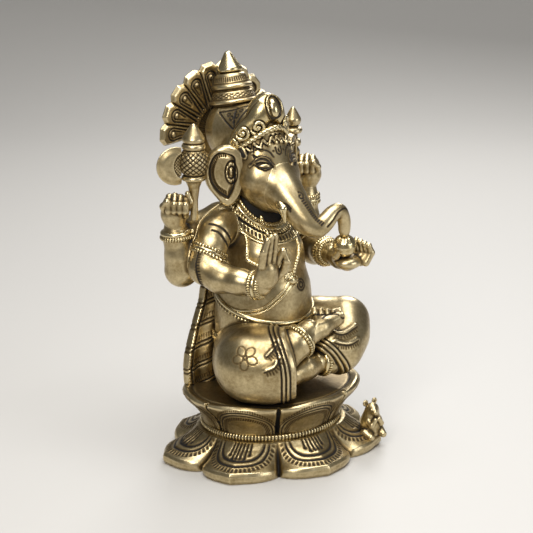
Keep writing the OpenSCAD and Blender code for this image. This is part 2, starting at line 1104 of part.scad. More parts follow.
module left_armlet() {
    color(bright_brass)
        placed()
            difference() {
                intersection() {
                    left_front_arm_shape(2);
                    disc_across([45.5, 22.5, 166], left_front_upper[1], left_front_upper[2], 7, 18);
                }
                left_front_arm_shape();
                torso_shape();
                left_rear_arm_shape();
            }
}

// ---- what the hands hold, and the mouse ----

module mace_shape() {
    translate(mace_at)
        rotate_extrude($fn = round_sides)
            polygon([
                [0, -14], [3, -14], [3, 2], [4.4, 12], [6.6, 17.5], [9.2, 18.6], [9.2, 20.6], [7.4, 22],
                [10.6, 26], [11.6, 31.5], [10.6, 37], [7.6, 41], [8.8, 42.4], [8.8, 45], [7, 46.4],
                [8.4, 49], [6.6, 52], [3, 57], [0, 61]
            ]);
}

module mace() {
    color(brass)
        placed()
            mace_shape();
}

module axe_blade() {
    color(brass)
        placed()
            difference() {
                translate([mace_at.x, mace_at.y, mace_at.z + 29])
                    rotate([0, 0, 157])
                        rotate([90, 0, 0])
                            translate([0, 0, -1.5])
                                linear_extrude(height = 3)
                                    difference() {
                                        translate([14, 0])
                                            circle(r = 14.5, $fn = 64);
                                        translate([4, 0])
                                            circle(r = 8.5, $fn = 64);
                                    }
                translate([mace_at.x, mace_at.y, mace_at.z])
                    cylinder(r = 11.6, h = 60, $fn = round_sides);
            }
}

module staff_shape() {
    translate(staff_at)
        rotate_extrude($fn = round_sides)
            polygon([
                [0, -12], [2.6, -12], [2.6, 4], [4.2, 10], [5.4, 24], [4, 26], [6.4, 28], [6.4, 31],
                [3.6, 33], [3.6, 36], [7.4, 38], [7.4, 40.6], [3.8, 42.4], [6.2, 45], [6.4, 48],
                [3.2, 54], [0, 58]
            ]);
}

module goad_staff() {
    color(brass)
        placed()
            staff_shape();
}

module modak_shape() {
    translate(modak_at)
        rotate_extrude($fn = round_sides)
            polygon([[0, -8.4], [4.8, -7.8], [8, -5], [9.3, -0.6], [8.6, 3.2], [6, 6.4], [3, 8.4], [0, 10]]);
}

module modak() {
    color(bright_brass)
        placed()
            modak_shape();
}

// The mouse sits up on the front left petal, with its head raised.
module mouse() {
    color(brass)
        difference() {
            placed()
                translate(mouse_at) {
                    lump([[0, 2, 6, 8], [-0.5, 0, 14, 7.2], [-1, -1, 20, 6]]);
                    lump([[-1, -2, 24, 5.4], [-3.4, -8, 23.4, 2.1]], 0, 10);
                    for (side = [-1, 1])
                        lump([[side * 4.6 - 1, 1, 28.4, 2.2], [side * 4.6 - 1, 1, 30, 2]], 0, fine_sides);
                    for (side = [-1, 1])
                        lump([[side * 5.2 - 0.5, -3, 15.4, 2.6], [side * 4 - 1.5, -8, 14, 2]], 0, fine_sides);
                    for (side = [-1, 1])
                        lump([[side * 6.4, -1, 5, 5], [side * 6.4, -7, 3, 2.8]], 0, fine_sides);
                }
            placed()
                below(mouse_foot);
            base_shape();
        }
}

lotus_base();
beaded_collar();
lotus_seat();
seat_bolts();
figure_bolts();
torso();
waist_belt();
belly_cord();
sacred_thread();
necklace();
pendant();
right_leg();
left_leg();
right_foot();
left_foot();
right_anklet();
left_anklet();
back_shawl();
head();
trunk();
right_tusk();
left_tusk();
right_ear();
left_ear();
crown_bowl();
crown_band();
diadem();
diadem_jewel();
crown_lower_tier();
crown_upper_tier();
crown_finial();
feather_halo();
halo_strut();
right_front_arm();
right_front_hand();
right_front_bracelet();
right_armlet();
left_front_arm();
left_front_hand();
left_front_bracelet();
left_armlet();
right_rear_arm();
right_rear_hand();
right_rear_bracelet();
left_rear_arm();
left_rear_hand();
left_rear_bracelet();
mace();
axe_blade();
goad_staff();
modak();
mouse();
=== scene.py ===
import math

import bpy
import numpy as np
import openvdb
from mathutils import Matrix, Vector


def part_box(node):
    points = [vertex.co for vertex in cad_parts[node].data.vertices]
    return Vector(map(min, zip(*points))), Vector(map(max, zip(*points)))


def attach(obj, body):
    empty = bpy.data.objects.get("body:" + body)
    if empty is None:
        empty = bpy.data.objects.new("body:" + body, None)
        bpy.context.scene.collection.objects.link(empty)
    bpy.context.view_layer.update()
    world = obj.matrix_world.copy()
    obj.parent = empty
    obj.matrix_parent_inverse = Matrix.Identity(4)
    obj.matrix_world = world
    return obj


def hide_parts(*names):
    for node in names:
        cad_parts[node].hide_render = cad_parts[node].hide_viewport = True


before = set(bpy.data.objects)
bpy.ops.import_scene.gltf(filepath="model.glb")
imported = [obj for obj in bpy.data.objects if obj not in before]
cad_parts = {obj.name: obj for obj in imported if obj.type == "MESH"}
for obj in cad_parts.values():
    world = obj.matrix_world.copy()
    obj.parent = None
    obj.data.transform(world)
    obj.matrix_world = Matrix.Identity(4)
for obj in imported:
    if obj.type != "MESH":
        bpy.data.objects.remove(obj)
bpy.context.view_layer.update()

MM = 0.001
FAR = 50.0  # the distance that cells in open space start with
FINE = 0.5  # cell sizes
MEDIUM = 0.6
ANTIQUE = "antique_brass"
BRIGHT = "bright_brass"
UP = (0, 0, 1)
ROUND = 2 * math.pi

SEAT_LOW, SEAT_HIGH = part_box("lotus_seat")
MIDDLE = np.array([SEAT_LOW.x + SEAT_HIGH.x, SEAT_LOW.y + SEAT_HIGH.y, 0]) / 2 / MM
SEAT_TOP = 54.0
SEAT_ROOF = 50.0
SEAT_BOLTS = (-34, 34)  # places along X of the bolts from the base, each in a boss
FIGURE_BOLTS = (-29.5, 29.5)
BOLT_R = 3


# ---- small maths ----


def unit(v):
    """The vector with a length of one."""
    v = np.array(v, float)
    return v / np.linalg.norm(v)


def smooth_step(x, low, high):
    """0 below low, 1 above high, with a smooth rise between."""
    t = np.clip((x - low) / (high - low), 0, 1)
    return t * t * (3 - 2 * t)


def band(x, start, full, fade, end):
    """1 from full to fade, and 0 before start and after end."""
    return smooth_step(x, start, full) * (1 - smooth_step(x, fade, end))


def bump(x, middle, width):
    """A smooth bump of height 1 at the middle."""
    return np.exp(-(((x - middle) / width) ** 2))


def wave(x, period):
    """A ripple from 0 to 1."""
    return 0.5 + 0.5 * np.cos(ROUND * x / period)


def soft_min(a, b, soft):
    """The lower of two distances, with the seam rounded."""
    if soft <= 0:
        return np.minimum(a, b)
    h = np.maximum(soft - np.abs(a - b), 0) / soft
    return np.minimum(a, b) - h * h * (soft / 4)


def smooth_line(points, step=0.5, closed=False):
    """Points a step apart on a smooth curve through the given points."""
    p = np.array(points, float)
    if closed:
        p = np.vstack([p[-1], p, p[0], p[1]])
    else:
        p = np.vstack([2 * p[0] - p[1], p, 2 * p[-1] - p[-2]])
    out = []
    for a, b, c, d in zip(p[:-3], p[1:-2], p[2:-1], p[3:]):
        n = max(2, int(np.linalg.norm((c - b)[:3]) / step))
        t = (np.arange(n) / n)[:, None]
        run = (2 * b) + (c - a) * t + (2 * a - 5 * b + 4 * c - d) * t**2
        out.append(0.5 * (run + (3 * b - a - 3 * c + d) * t**3))
    if not closed:
        out.append(p[-2:-1])
    return np.vstack(out)


def on_side(points, flip):
    """Points on the idol's right, or the same points on its left."""
    p = np.array(points, float)
    if flip:
        p[..., 0] = 2 * FACE_MIDDLE - p[..., 0]
    return p


def outline_distance(outline, u, v):
    """Distance from (u, v) to a closed outline, below zero inside it."""
    best = np.float32(1e9)
    inside = False
    for (ax, ay), (bx, by) in zip(outline, outline[1:] + outline[:1]):
        ex, ey = bx - ax, by - ay
        px, py = u - ax, v - ay
        t = np.clip((px * ex + py * ey) / (ex * ex + ey * ey), 0, 1)
        best = np.minimum(best, (px - t * ex) ** 2 + (py - t * ey) ** 2)
        if ay != by:
            crossing = ((ay > v) != (by > v)) & (u < ex * (v - ay) / (by - ay) + ax)
            inside = inside ^ crossing
    return np.where(inside, -1, 1) * np.sqrt(best)


# ---- shapes: each has a distance function and a box ----


class Shape:
    """A distance function of x, y, z in mm, with the box that it fills."""

    def __init__(self, distance, low, high):
        self.distance = distance
        self.low = np.array(low, float)
        self.high = np.array(high, float)


def ball(p, r):
    """A ball."""
    p = np.array(p, float)

    def distance(x, y, z):
        return np.sqrt((x - p[0]) ** 2 + (y - p[1]) ** 2 + (z - p[2]) ** 2) - r

    return Shape(distance, p - r, p + r)


def cone(a, b):
    """A rounded cone between two balls, each x, y, z and radius."""
    a, b = np.array(a, float), np.array(b, float)
    run = b[:3] - a[:3]
    square = max(run @ run, 1e-9)

    def distance(x, y, z):
        px, py, pz = x - a[0], y - a[1], z - a[2]
        t = np.clip((px * run[0] + py * run[1] + pz * run[2]) / square, 0, 1)
        px, py, pz = px - t * run[0], py - t * run[1], pz - t * run[2]
        return np.sqrt(px * px + py * py + pz * pz) - (a[3] + t * (b[3] - a[3]))

    low = np.minimum(a[:3] - a[3], b[:3] - b[3])
    high = np.maximum(a[:3] + a[3], b[:3] + b[3])
    return Shape(distance, low, high)


def frame_of(axis, side=None):
    """Three unit vectors, the last along the axis and the first as near to side as it can be."""
    w = unit(axis)
    side = np.array([1.0, 0, 0]) if side is None else np.array(side, float)
    if abs(unit(side) @ w) > 0.99:
        side = np.array([0, 1.0, 0])
    u = unit(side - w * (side @ w))
    return np.array([u, np.cross(w, u), w])


def local(x, y, z, at, axes):
    """Coordinates along three axes from a point."""
    px, py, pz = x - at[0], y - at[1], z - at[2]
    return [px * a[0] + py * a[1] + pz * a[2] for a in axes]


def flattened(points, at, axes):
    """Points as a flat outline along the first two axes from a point."""
    return [tuple(float(a @ (p - at)) for a in axes[:2]) for p in points]


def circle(at, axes, r, turns):
    """Points round a circle, or along a spiral if there is a radius for each turn."""
    rows = zip(turns, np.broadcast_to(r, len(turns)))
    return [at + (axes[0] * math.cos(t) + axes[1] * math.sin(t)) * q for t, q in rows]


def egg(at, radii, axes=np.eye(3)):
    """An ellipsoid with its own axes."""
    at = np.array(at, float)
    r = np.array(radii, float)

    def distance(x, y, z):
        p = local(x, y, z, at, axes)
        near = np.sqrt(sum((q / s) ** 2 for q, s in zip(p, r)))
        slope = np.sqrt(sum((q / s**2) ** 2 for q, s in zip(p, r)))
        return near * (near - 1) / np.maximum(slope, 1e-6)

    return Shape(distance, at - r.max(), at + r.max())


def turned(outline, at, axis=UP, relief=None):
    """An outline of radius and height turned about an axis, with relief(angle, height) on it."""
    axes = frame_of(axis)
    at = np.array(at, float)
    profile = [tuple(map(float, p)) for p in outline]
    reach = max(math.hypot(*p) for p in profile)

    def distance(x, y, z):
        u, v, w = local(x, y, z, at, axes)
        d = outline_distance(profile, np.hypot(u, v), w)
        if relief is not None:
            d = d - relief(np.arctan2(v, u), w)
        return d

    return Shape(distance, at - reach, at + reach)


# ---- clay: a block of cells that shapes are added to and carved from ----


def value_at(block, p):
    """A block's values at fractional cell numbers."""
    i = np.clip(np.floor(p).astype(int), 0, np.array(block.shape) - 2)
    f = np.clip(p - i, 0, 1)
    out = 0
    for corner in np.ndindex(2, 2, 2):
        share = np.prod(np.where(corner, f, 1 - f), axis=1)
        j = i + corner
        out = out + share * block[j[:, 0], j[:, 1], j[:, 2]]
    return out


class Clay:
    """A block of space in which each cell holds its distance to the surface, in mm."""

    def __init__(self, low, high, cell=FINE):
        self.box = low, high
        self.cell = cell
        self.first = np.floor(np.array(low) / cell).astype(int) - 2
        last = np.ceil(np.array(high) / cell).astype(int) + 2
        self.d = np.full(last - self.first + 1, FAR, np.float32)
        self.ink = np.zeros(self.d.shape, np.float32)

    def like(self):
        """An empty block of the same size."""
        return Clay(*self.box, self.cell)

    def window(self, low=None, high=None):
        """The slices of a box, or of the whole block, and its cells' coordinates."""
        a, b = np.zeros(3, int), np.array(self.d.shape)
        if low is not None:
            size = b
            a = np.clip(np.floor(np.array(low) / self.cell).astype(int) - self.first, 0, size)
            b = np.clip(np.ceil(np.array(high) / self.cell).astype(int) - self.first + 1, 0, size)
            b = np.maximum(a, b)
        cut = tuple(map(slice, a, b))
        axes = [(np.arange(i, j) + f) * np.float32(self.cell) for i, j, f in zip(a, b, self.first)]
        x, y, z = (np.float32(c) for c in axes)
        return cut, x[:, None, None], y[None, :, None], z[None, None, :]

    def around(self, shape, soft):
        """The window that a shape can change."""
        reach = soft + 4 * self.cell
        cut, x, y, z = self.window(shape.low - reach, shape.high + reach)
        return cut, shape.distance(x, y, z)

    def add(self, shape, soft=0.0):
        """Adds a shape, with a rounded seam."""
        cut, d = self.around(shape, soft)
        self.d[cut] = soft_min(self.d[cut], d, soft)
        return self

    def limb(self, line, soft=3.0):
        """Adds a row of rounded cones through balls of x, y, z and radius."""
        for a, b in zip(line[:-1], line[1:]):
            self.add(cone(a, b), soft)
        return self

    def carve(self, shape, soft=0.0):
        """Takes a shape away."""
        cut, d = self.around(shape, soft)
        self.d[cut] = -soft_min(-self.d[cut], d, soft)
        return self

    def keep(self, distance, soft=0.0):
        """Keeps only what is inside a distance function."""
        _, x, y, z = self.window()
        self.d = -soft_min(-self.d, -np.float32(distance(x, y, z)), soft)
        return self

    def meet(self, other, soft):
        """Flows into another block, and stops halfway to it."""
        both = soft_min(self.d, other.d, soft)
        self.d = np.maximum(both, self.d - other.d - 0.5)
        return self

    def relief(self, height, low=None, high=None):
        """Raises the surface by a height function, in mm."""
        cut, x, y, z = self.window(low, high)
        raised = np.float32(height(x, y, z))
        self.d[cut] -= raised
        self.mark_patina_and_shade(cut, -1.6 * raised)
        return self

    def mark_patina_and_shade(self, cut, amount):
        """Marks where patina gathers, and where shade is painted."""
        self.ink[cut] = np.maximum(self.ink[cut], np.clip(amount, 0, 1))

    def sample(self, points, block=None):
        """The distance, or another block's value, at any points."""
        p = np.array(points, float) / self.cell - self.first
        return value_at(self.d if block is None else block, p)

    def slope(self, points):
        """The outward direction at any points."""
        h = self.cell
        parts = []
        for axis in np.eye(3):
            parts.append(self.sample(points + axis * h) - self.sample(points - axis * h))
        g = np.array(parts).T
        return g / np.maximum(np.linalg.norm(g, axis=1, keepdims=True), 1e-6)

    def snap(self, points, rounds=6):
        """The nearest points on the surface."""
        p = np.array(points, float)
        for _ in range(rounds):
            p = p - self.slope(p) * np.clip(self.sample(p), -2, 2)[:, None]
        return p

    def spot(self, at, side=None):
        """The nearest point on the surface, and axes there of which the last points out."""
        at = self.snap([at])[0]
        return at, frame_of(self.slope([at])[0], side)

    def groove(self, points, width, depth, dark=0.95):
        """Cuts a round groove along points, which are first moved to the surface."""
        p = self.snap(points)
        n = self.slope(p)
        for q in p + n * (width - depth):
            shape = ball(q, width)
            self.carve(shape)
            cut, d = self.around(shape, 0)
            self.mark_patina_and_shade(cut, dark - dark * np.clip(d / 0.5, 0, 1))
        return self

    def bead(self, points, r, out=0.3, soft=0.3):
        """Adds balls along points, which are first moved to the surface."""
        p = self.snap(points)
        n = self.slope(p)
        for q in p + n * (r * out):
            self.add(ball(q, r), soft)
        return self

    def mesh(self):
        """The surface as vertices in mm and four-sided faces."""
        grid = openvdb.FloatGrid(FAR)
        grid.copyFromArray(self.d)
        points, quads = grid.convertToQuads(isovalue=0.0)
        return (points + self.first) * self.cell, quads


# ---- pieces ----

made = []


def piece(name, clay, slot=ANTIQUE):
    """Keeps the finished clay that replaces the CAD node of this name, until every piece is shaped."""
    made.append((name, clay, slot))


# ---- lotus base, collar and seat ----

PETALS = 7
STEP = 360 / PETALS
FRONT = 266.0
BASE_X, BASE_Y = 91.0, 76.0
BASE_H = 24.0
RIM_H = 6.5
DIP = 0.17
COLLAR_H = 4.0
COLLAR_TICKS = 130
WAIST_X, WAIST_Y = 56.0, 47.0
RIM_X, RIM_Y = 73.0, 61.0


def petal_place(x, y, rx, ry):
    """Share of the oval's radius, place across a petal from -1 to 1, and distance from the middle."""
    share = np.hypot(x / rx, y / ry)
    angle = np.degrees(np.arctan2(y / ry, x / rx))
    turn = (angle - FRONT + STEP / 2) % STEP - STEP / 2
    return share, turn / (STEP / 2), np.hypot(x, y)


def petal_tip(v):
    """Share of the oval's radius that the petals reach at each place across a petal."""
    point = 0.025 * np.clip(1 - np.abs(v) / 0.3, 0, 1) ** 1.6
    return 1 - DIP + DIP * np.abs(np.cos(v * math.pi / 2)) ** 0.6 + point


def petal_lines(near, place):
    """Depth of the chiselled lines on a petal: two U lines and a row of ticks outside them."""
    cut = 0.9 * bump(near, 6.6, 0.7) + 0.85 * bump(near, 10.2, 0.7)
    ticks = band(near, 1.8, 2.4, 4.6, 5.2)
    return cut + 0.55 * ticks * wave(place, 2.1)


def stamens(v, edge):
    """Relief of the stamens that fan out along each petal's middle, with dots at their ends."""
    out = 0
    for k in (-2.5, -1.5, -0.5, 0.5, 1.5, 2.5):
        reach = 14.5 + (1.6 if abs(k) in (0.5, 2.5) else 0) + 0.8 * abs(k)
        middle = v - k * 0.105
        stalk = bump(middle, 0, 0.02) * smooth_step(edge, reach, reach + 0.8)
        dot = bump(np.hypot(middle * 26, edge - reach), 0, 1.0)
        out = out - 0.85 * np.maximum(stalk, dot)
    return out


def base_height(x, y):
    """Height of the top of the lotus base."""
    share, v, far = petal_place(x, y, BASE_X, BASE_Y)
    scale = far / np.maximum(share, 1e-6)
    tip = petal_tip(v)
    edge = (tip - share) * scale
    side = (1 - np.abs(v)) * math.radians(STEP / 2) * far
    blend = smooth_step(share, 0.62, 0.84)
    place = share / (1 + (tip - 1) * blend)
    levels = [BASE_H, BASE_H - 0.8, 18.6, 13.4, 9.4, 7.8, RIM_H - 0.9]
    top = np.interp(place, [0.64, 0.68, 0.74, 0.84, 0.94, 0.985, 1.0], levels)
    outer = smooth_step(share, 0.64, 0.74)
    top = top + outer * (1.8 * (1 - v * v) - 0.6)
    top = top - outer * (2.0 * np.clip(1 - side / 9, 0, 1) ** 2 + 3.4 * bump(side, 0, 1.4))
    run = np.clip((share - 0.56) / (tip - 0.56), 0, 1.2)
    near = 29 * (1 - (run**2.8 + (np.abs(v) * 0.97) ** 2.8) ** (1 / 2.8))
    turn = np.arctan2(v * 27, run * 30) * 24
    detail = (stamens(v, edge) - petal_lines(near, turn)) * smooth_step(share, 0.66, 0.7)
    groove = 0.9 * outer * bump(side, 0, 1.6)
    return top + detail, edge, np.maximum(-detail * 1.5, groove)


def base_roof(x, y):
    """Height of the roof of the hollow under the base."""
    share, v, _ = petal_place(x, y, BASE_X, BASE_Y)
    tip = 1 - DIP + DIP * np.abs(np.cos(v * math.pi / 2)) ** 0.55
    place = share / (1 + (tip - 1) * smooth_step(share, 0.6, 0.84))
    return np.interp(place, [0, 0.57, 0.76, 0.9, 0.935, 0.94], [20, 20, 10, 4, 0, -9])


def make_base():
    """The lotus base: a hollow casting with seven petals."""
    clay = Clay([-94, -79, -1], [94, 79, BASE_H + 2], MEDIUM)
    cut, x, y, z = clay.window()
    top, edge, ink = base_height(x[:, :, 0], y[:, :, 0])
    slope = np.hypot(*np.gradient(top, clay.cell))
    slope = np.sqrt(1 + np.clip(slope, 0, 3) ** 2)
    d = (z - top[:, :, None]) / slope[:, :, None]
    under = 1.4 * smooth_step(-z, -3.5, 0)
    roof = base_roof(x[:, :, 0], y[:, :, 0])
    d = np.maximum(np.maximum(d, -edge[:, :, None] * 0.92 + under), -z)
    clay.d = np.float32(np.maximum(d, (roof[:, :, None] - z) * 0.8))
    clay.mark_patina_and_shade(cut, ink[:, :, None] * (z > top[:, :, None] - 2.5))
    piece("lotus_base", clay)


def oval_wall(x, y, rx, ry):
    """Distance to an upright oval wall."""
    share = np.hypot(x / rx, y / ry)
    return (share - 1) * np.hypot(x, y) / np.maximum(share, 1e-6)


def make_collar():
    """The ticked collar between the base and the seat."""
    low, high = BASE_H - 0.4, BASE_H + COLLAR_H + 0.4
    middle = (low + high) / 2
    clay = Clay([-63, -54, low], [63, 54, high], MEDIUM)
    cut, x, y, z = clay.window()
    turn = np.arctan2(y / WAIST_Y, x / WAIST_X)
    bulge = 1.7 * np.sqrt(np.clip(1 - ((z - middle) / 2.6) ** 2, 0, 1))
    ticks = np.broadcast_to(wave(turn, ROUND / COLLAR_TICKS), clay.d.shape)
    wall = oval_wall(x, y, WAIST_X + 1.4, WAIST_Y + 1.4) - bulge + 0.75 * ticks
    hollow = -oval_wall(x, y, WAIST_X - 8, WAIST_Y - 8)
    clay.d = np.float32(np.maximum(np.maximum(wall, hollow), np.abs(z - middle) - (high - low) / 2))
    clay.mark_patina_and_shade(cut, 1.5 * ticks - 0.55)
    piece("beaded_collar", clay, BRIGHT)


def seat_relief(v, side, high):
    """Relief of the seat's petals, from the place across a petal and the height below the rim."""
    arch = 4.5 + 15 * np.abs(v) ** 2.4
    near = soft_min(high - arch, side, 6)
    out = -0.85 * bump(near, 0.2, 0.5) - 0.85 * bump(near, 3.0, 0.5)
    ticks = band(-near, 0.9, 1.3, 3.0, 3.5)
    out = out - 0.5 * ticks * wave(v * 32, 1.9)
    lower = band(near, 4.6, 5.4, 8, 9) * smooth_step(high, 8, 10)
    out = out - 0.5 * lower * wave(v * 32 + high * 0.6, 2.2)
    return out - 2.8 * bump(side, 0, 1.2) + 0.5 * bump(side, 2.2, 0.9)


def make_seat():
    """The flared lotus seat, hollow under its closed top."""
    low = BASE_H + COLLAR_H
    clay = Clay([-78, -66, low - 1], [78, 66, SEAT_TOP + 4], MEDIUM)
    levels = [28, 30, 33, 37, 41, 44.5, 47, 49.5, 51.5, 54, 55.5]
    length = [57, 57.6, 58.6, 60.6, 63.6, 67, 69.6, 72, 73.4, 73.8, 73]
    width = [47.6, 48.2, 49.2, 51.2, 53.8, 56.6, 58.8, 60.4, 61.4, 61.6, 61]
    cut, x, y, z = clay.window()
    rx = np.interp(z, levels, length)
    ry = np.interp(z, levels, width)
    _, v, far = petal_place(x, y, RIM_X, RIM_Y)
    side = (1 - np.abs(v)) * math.radians(STEP / 2) * far
    lift = 2.0 * np.cos(v * math.pi / 2) ** 2 - 0.8
    top = SEAT_TOP + 0.8 + lift
    carved = seat_relief(v, side, top - z)
    wall = oval_wall(x, y, rx, ry) * 0.85 - carved - 1.4 * (np.cos(v * math.pi / 2) - 0.6)
    inside = -oval_wall(x, y, RIM_X - 6, RIM_Y - 6)
    rise = smooth_step(-inside, -1, 4)
    crest = SEAT_TOP + 0.1 + (top - SEAT_TOP - 0.1) * rise - 0.8 * bump(inside, 1.5, 1.0)
    crest = crest - 0.9 * np.clip(-inside - 5, 0, 4)
    d = np.maximum(wall, (z - crest) * 0.8)
    d = -soft_min(-d, z - low, 1)
    hollow_x = np.interp(z, [28, 35, 50], [49, 51, 57])
    hollow_y = np.interp(z, [28, 35, 50], [40, 42, 47.5])
    hollow = np.maximum(oval_wall(x, y, hollow_x, hollow_y) * 0.9, z - SEAT_ROOF)
    for spot in SEAT_BOLTS:
        hollow = np.maximum(hollow, 8 - np.hypot(x - spot, y))
    clay.d = np.float32(np.maximum(d, -hollow))
    clay.mark_patina_and_shade(cut, -1.5 * carved * (z < top - 2.5))
    # painted shade: the seat's top inside the rim, under the figure, is darkened a little
    clay.mark_patina_and_shade(cut, 0.2 * smooth_step(inside, 1, 4) * (z > SEAT_TOP - 3))
    for spot in SEAT_BOLTS:
        clay.carve(cone([spot, 0, 20, BOLT_R], [spot, 0, 40, BOLT_R]))
    piece("lotus_seat", clay)


# ---- the figure's limbs: rows of x, y, z and radius ----

TORSO = [
    [0, 14, 66, 36], [-1, 9, 96, 35.5], [-1.5, 8, 114, 35.5], [-1.5, 7.5, 130, 33.5],
    [-1, 12, 149, 30], [-1.5, 17, 167, 26.5], [-2, 20, 183, 24],
]
SHOULDERS = [[-31, 22, 182, 14], [-2, 21, 185, 20], [28, 23, 182, 13.5]]
NECK = [[-2, 21, 185, 21], [-3, 19, 202, 20]]
CHEST = [[-14, -4, 160, 14], [10, -3, 160, 14]]

RIGHT_THIGH = [
    [-18, 10, 83, 24.5], [-31, -12, 83, 26.5], [-40, -27, 84, 27.5], [-30, -38, 83.5, 26.5],
    [-13, -43, 83.5, 25.5],
]
RIGHT_HEM = (-12, -44, 84)
RIGHT_HEM_OUT = unit([math.cos(math.radians(-39)), math.sin(math.radians(-39)), 0])
RIGHT_SHIN = [[-20, -38, 91, 15], [-10, -42, 98, 11.5], [3, -41, 105, 9]]
LEFT_THIGH = [
    [28, 12, 86, 27], [42, -6, 91, 23], [57, -21, 97, 17.5], [49, -30, 89, 17.5],
    [37, -35, 82, 18], [24, -37, 86, 15],
]
LEFT_HEM = (23, -48.6, 73.6)
LEFT_HEM_OUT = unit([-0.81, -0.12, -0.575])
LEFT_SHIN = [[40, -36, 76, 12], [24, -39, 76, 9.5], [12, -39, 77.5, 9]]
# The right foot's sole: near heel, near toes, far toes and far heel.
RIGHT_SOLE = [[2, -50, 110], [34, -50, 113.4], [39, -37, 114.4], [12.6, -31, 116.4]]
LEFT_SOLE = [[10, -39, 77, 9], [0, -40, 76, 9.5], [-12, -40, 73, 9]]

RIGHT_FRONT_ARM = [
    [-32, 20, 183, 14], [-43, 14, 179, 12.5], [-53, 9, 167, 12], [-60, 5, 156, 12],
    [-56, -8, 150.5, 11], [-50, -24, 150, 9.4], [-44, -37, 149, 7.8], [-42.6, -40.5, 150, 7.6],
]
LEFT_FRONT_ARM = [
    [30, 21, 181, 13.5], [41, 23, 172, 12.5], [50, 22, 159, 12], [51, 20, 151, 12],
    [47, 4, 152, 11.5], [42.5, -12, 154.5, 9.6], [40.5, -24, 155.5, 7.6],
]
RIGHT_REAR_ARM = [
    [-32, 24, 185, 13], [-46, 30, 178, 12.5], [-57, 31, 164, 12], [-63, 31, 149, 12],
    [-65.5, 30, 161, 10.5], [-68, 31, 176, 9], [-68.5, 31.5, 184, 8],
]
LEFT_REAR_ARM = [
    [28, 25, 184, 13], [42, 29, 175, 12], [53, 30, 164, 11.5], [58, 29, 156, 11.5],
    [58.5, 29, 170, 10], [58, 28, 186, 8.5], [58, 27.5, 196, 7.6],
]

SKULL = [[-3, 17, 230, 25], [-3, 8, 222, 23.5], [-3, 20, 242, 24.5]]
BROW = [[-3, 9.5, 245, 19], [-3, 3, 232, 15]]
BROW_SIDES = [[-10, 1.5, 233, 11.5], [3, 2, 233, 11]]
CHEEKS = [[-15, -3, 218, 12], [-3, -2, 209, 14], [9, -3, 218, 12]]
JAW = [[-3, 2, 206, 13], [-3, -13, 202, 8]]
TRUNK = [
    [-3, -7.5, 219, 14.8], [-3, -18.5, 210.5, 13.6], [-2, -30, 201, 11], [1, -40, 191, 9],
    [6, -46, 187, 7.2], [12, -48.5, 190.5, 6.2], [19, -48.5, 196, 5.4], [26, -48.5, 197, 5],
    [31, -48, 189, 4.4], [32.5, -47, 179, 3.8],
]
MODAK = (34, -45.5, 168)


def box_of(lines, spare=4.0):
    """The box round some rows of balls."""
    rows = np.vstack([np.array(line, float) for line in lines])
    low = (rows[:, :3] - rows[:, 3:4]).min(axis=0) - spare
    high = (rows[:, :3] + rows[:, 3:4]).max(axis=0) + spare
    low[2] = max(low[2], SEAT_TOP - 1)
    return low, high


def grown(line, near, soft, meet):
    """Clay for a limb that flows into its neighbours and stops halfway to them."""
    own = Clay(*box_of([line]), MEDIUM).limb(line, soft)
    other = own.like()
    for row in near:
        other.limb(row, soft)
    return own.meet(other, meet)


def stand(clay):
    """Ends the clay on the seat's top."""
    clay.keep(lambda x, y, z: SEAT_TOP - 0.2 - z)
    return clay


def across(x, y, z, at, out):
    """Distance past a plane through a point."""
    return (x - at[0]) * out[0] + (y - at[1]) * out[1] + (z - at[2]) * out[2]


def wrap(body, at, tilt, strands):
    """Strands on a body in a tilted plane: shift, height, thickness and twists."""
    clay = body.like()
    cut, x, y, z = clay.window()
    h = across(x, y, z, at, unit(tilt))
    return lay_strands(clay, cut, body.d, h, np.arctan2(y - at[1], x - at[0]), strands)


def drape(body, at, strands, low, high):
    """Strands that hang round the neck: drop, rise to the nape, thickness and twists."""
    clay = body.like()
    cut, x, y, z = clay.window(low, high)
    turn = np.arctan2(y - at[1], x - at[0])
    far = np.hypot(x - at[0], y - at[1]) + 1
    for drop, rise, thick, twists in strands:
        h = z - at[2] + drop - rise * (1 + np.sin(turn))
        h = h / np.sqrt(1 + (rise * np.cos(turn) / far) ** 2)
        lay_strands(clay, cut, body.d[cut], h, turn, [(0, 0.5, thick, twists)])
    return clay


def lay_strands(clay, cut, depth, h, turn, strands):
    """Adds strands by depth, place across and angle. Twists below zero make a ticked strap."""
    d, ink = clay.d[cut], clay.ink[cut]
    for shift, lift, thick, twists in strands:
        a, b = depth - lift, h - shift
        if twists < 0:
            ticks = wave(turn * -twists, ROUND) * smooth_step(thick - 0.5 - np.abs(b), 0, 0.4)
            strap = np.hypot(np.maximum(np.abs(b) - thick + 0.5, 0), np.maximum(a - 0.4, 0)) - 0.5
            strap = strap + 0.5 * ticks
            ink = np.where(strap < d, ticks, ink)
            d = np.minimum(d, strap)
            continue
        spin = 0.22 * thick * np.cos(turn * twists + np.arctan2(b, a)) if twists else 0
        rope = np.hypot(a, b) - thick - spin
        ink = np.where(rope < d, -3 * spin if twists else 0, ink)
        d = np.minimum(d, rope)
    clay.d[cut] = d
    clay.ink[cut] = np.clip(ink, 0, 1)
    return clay


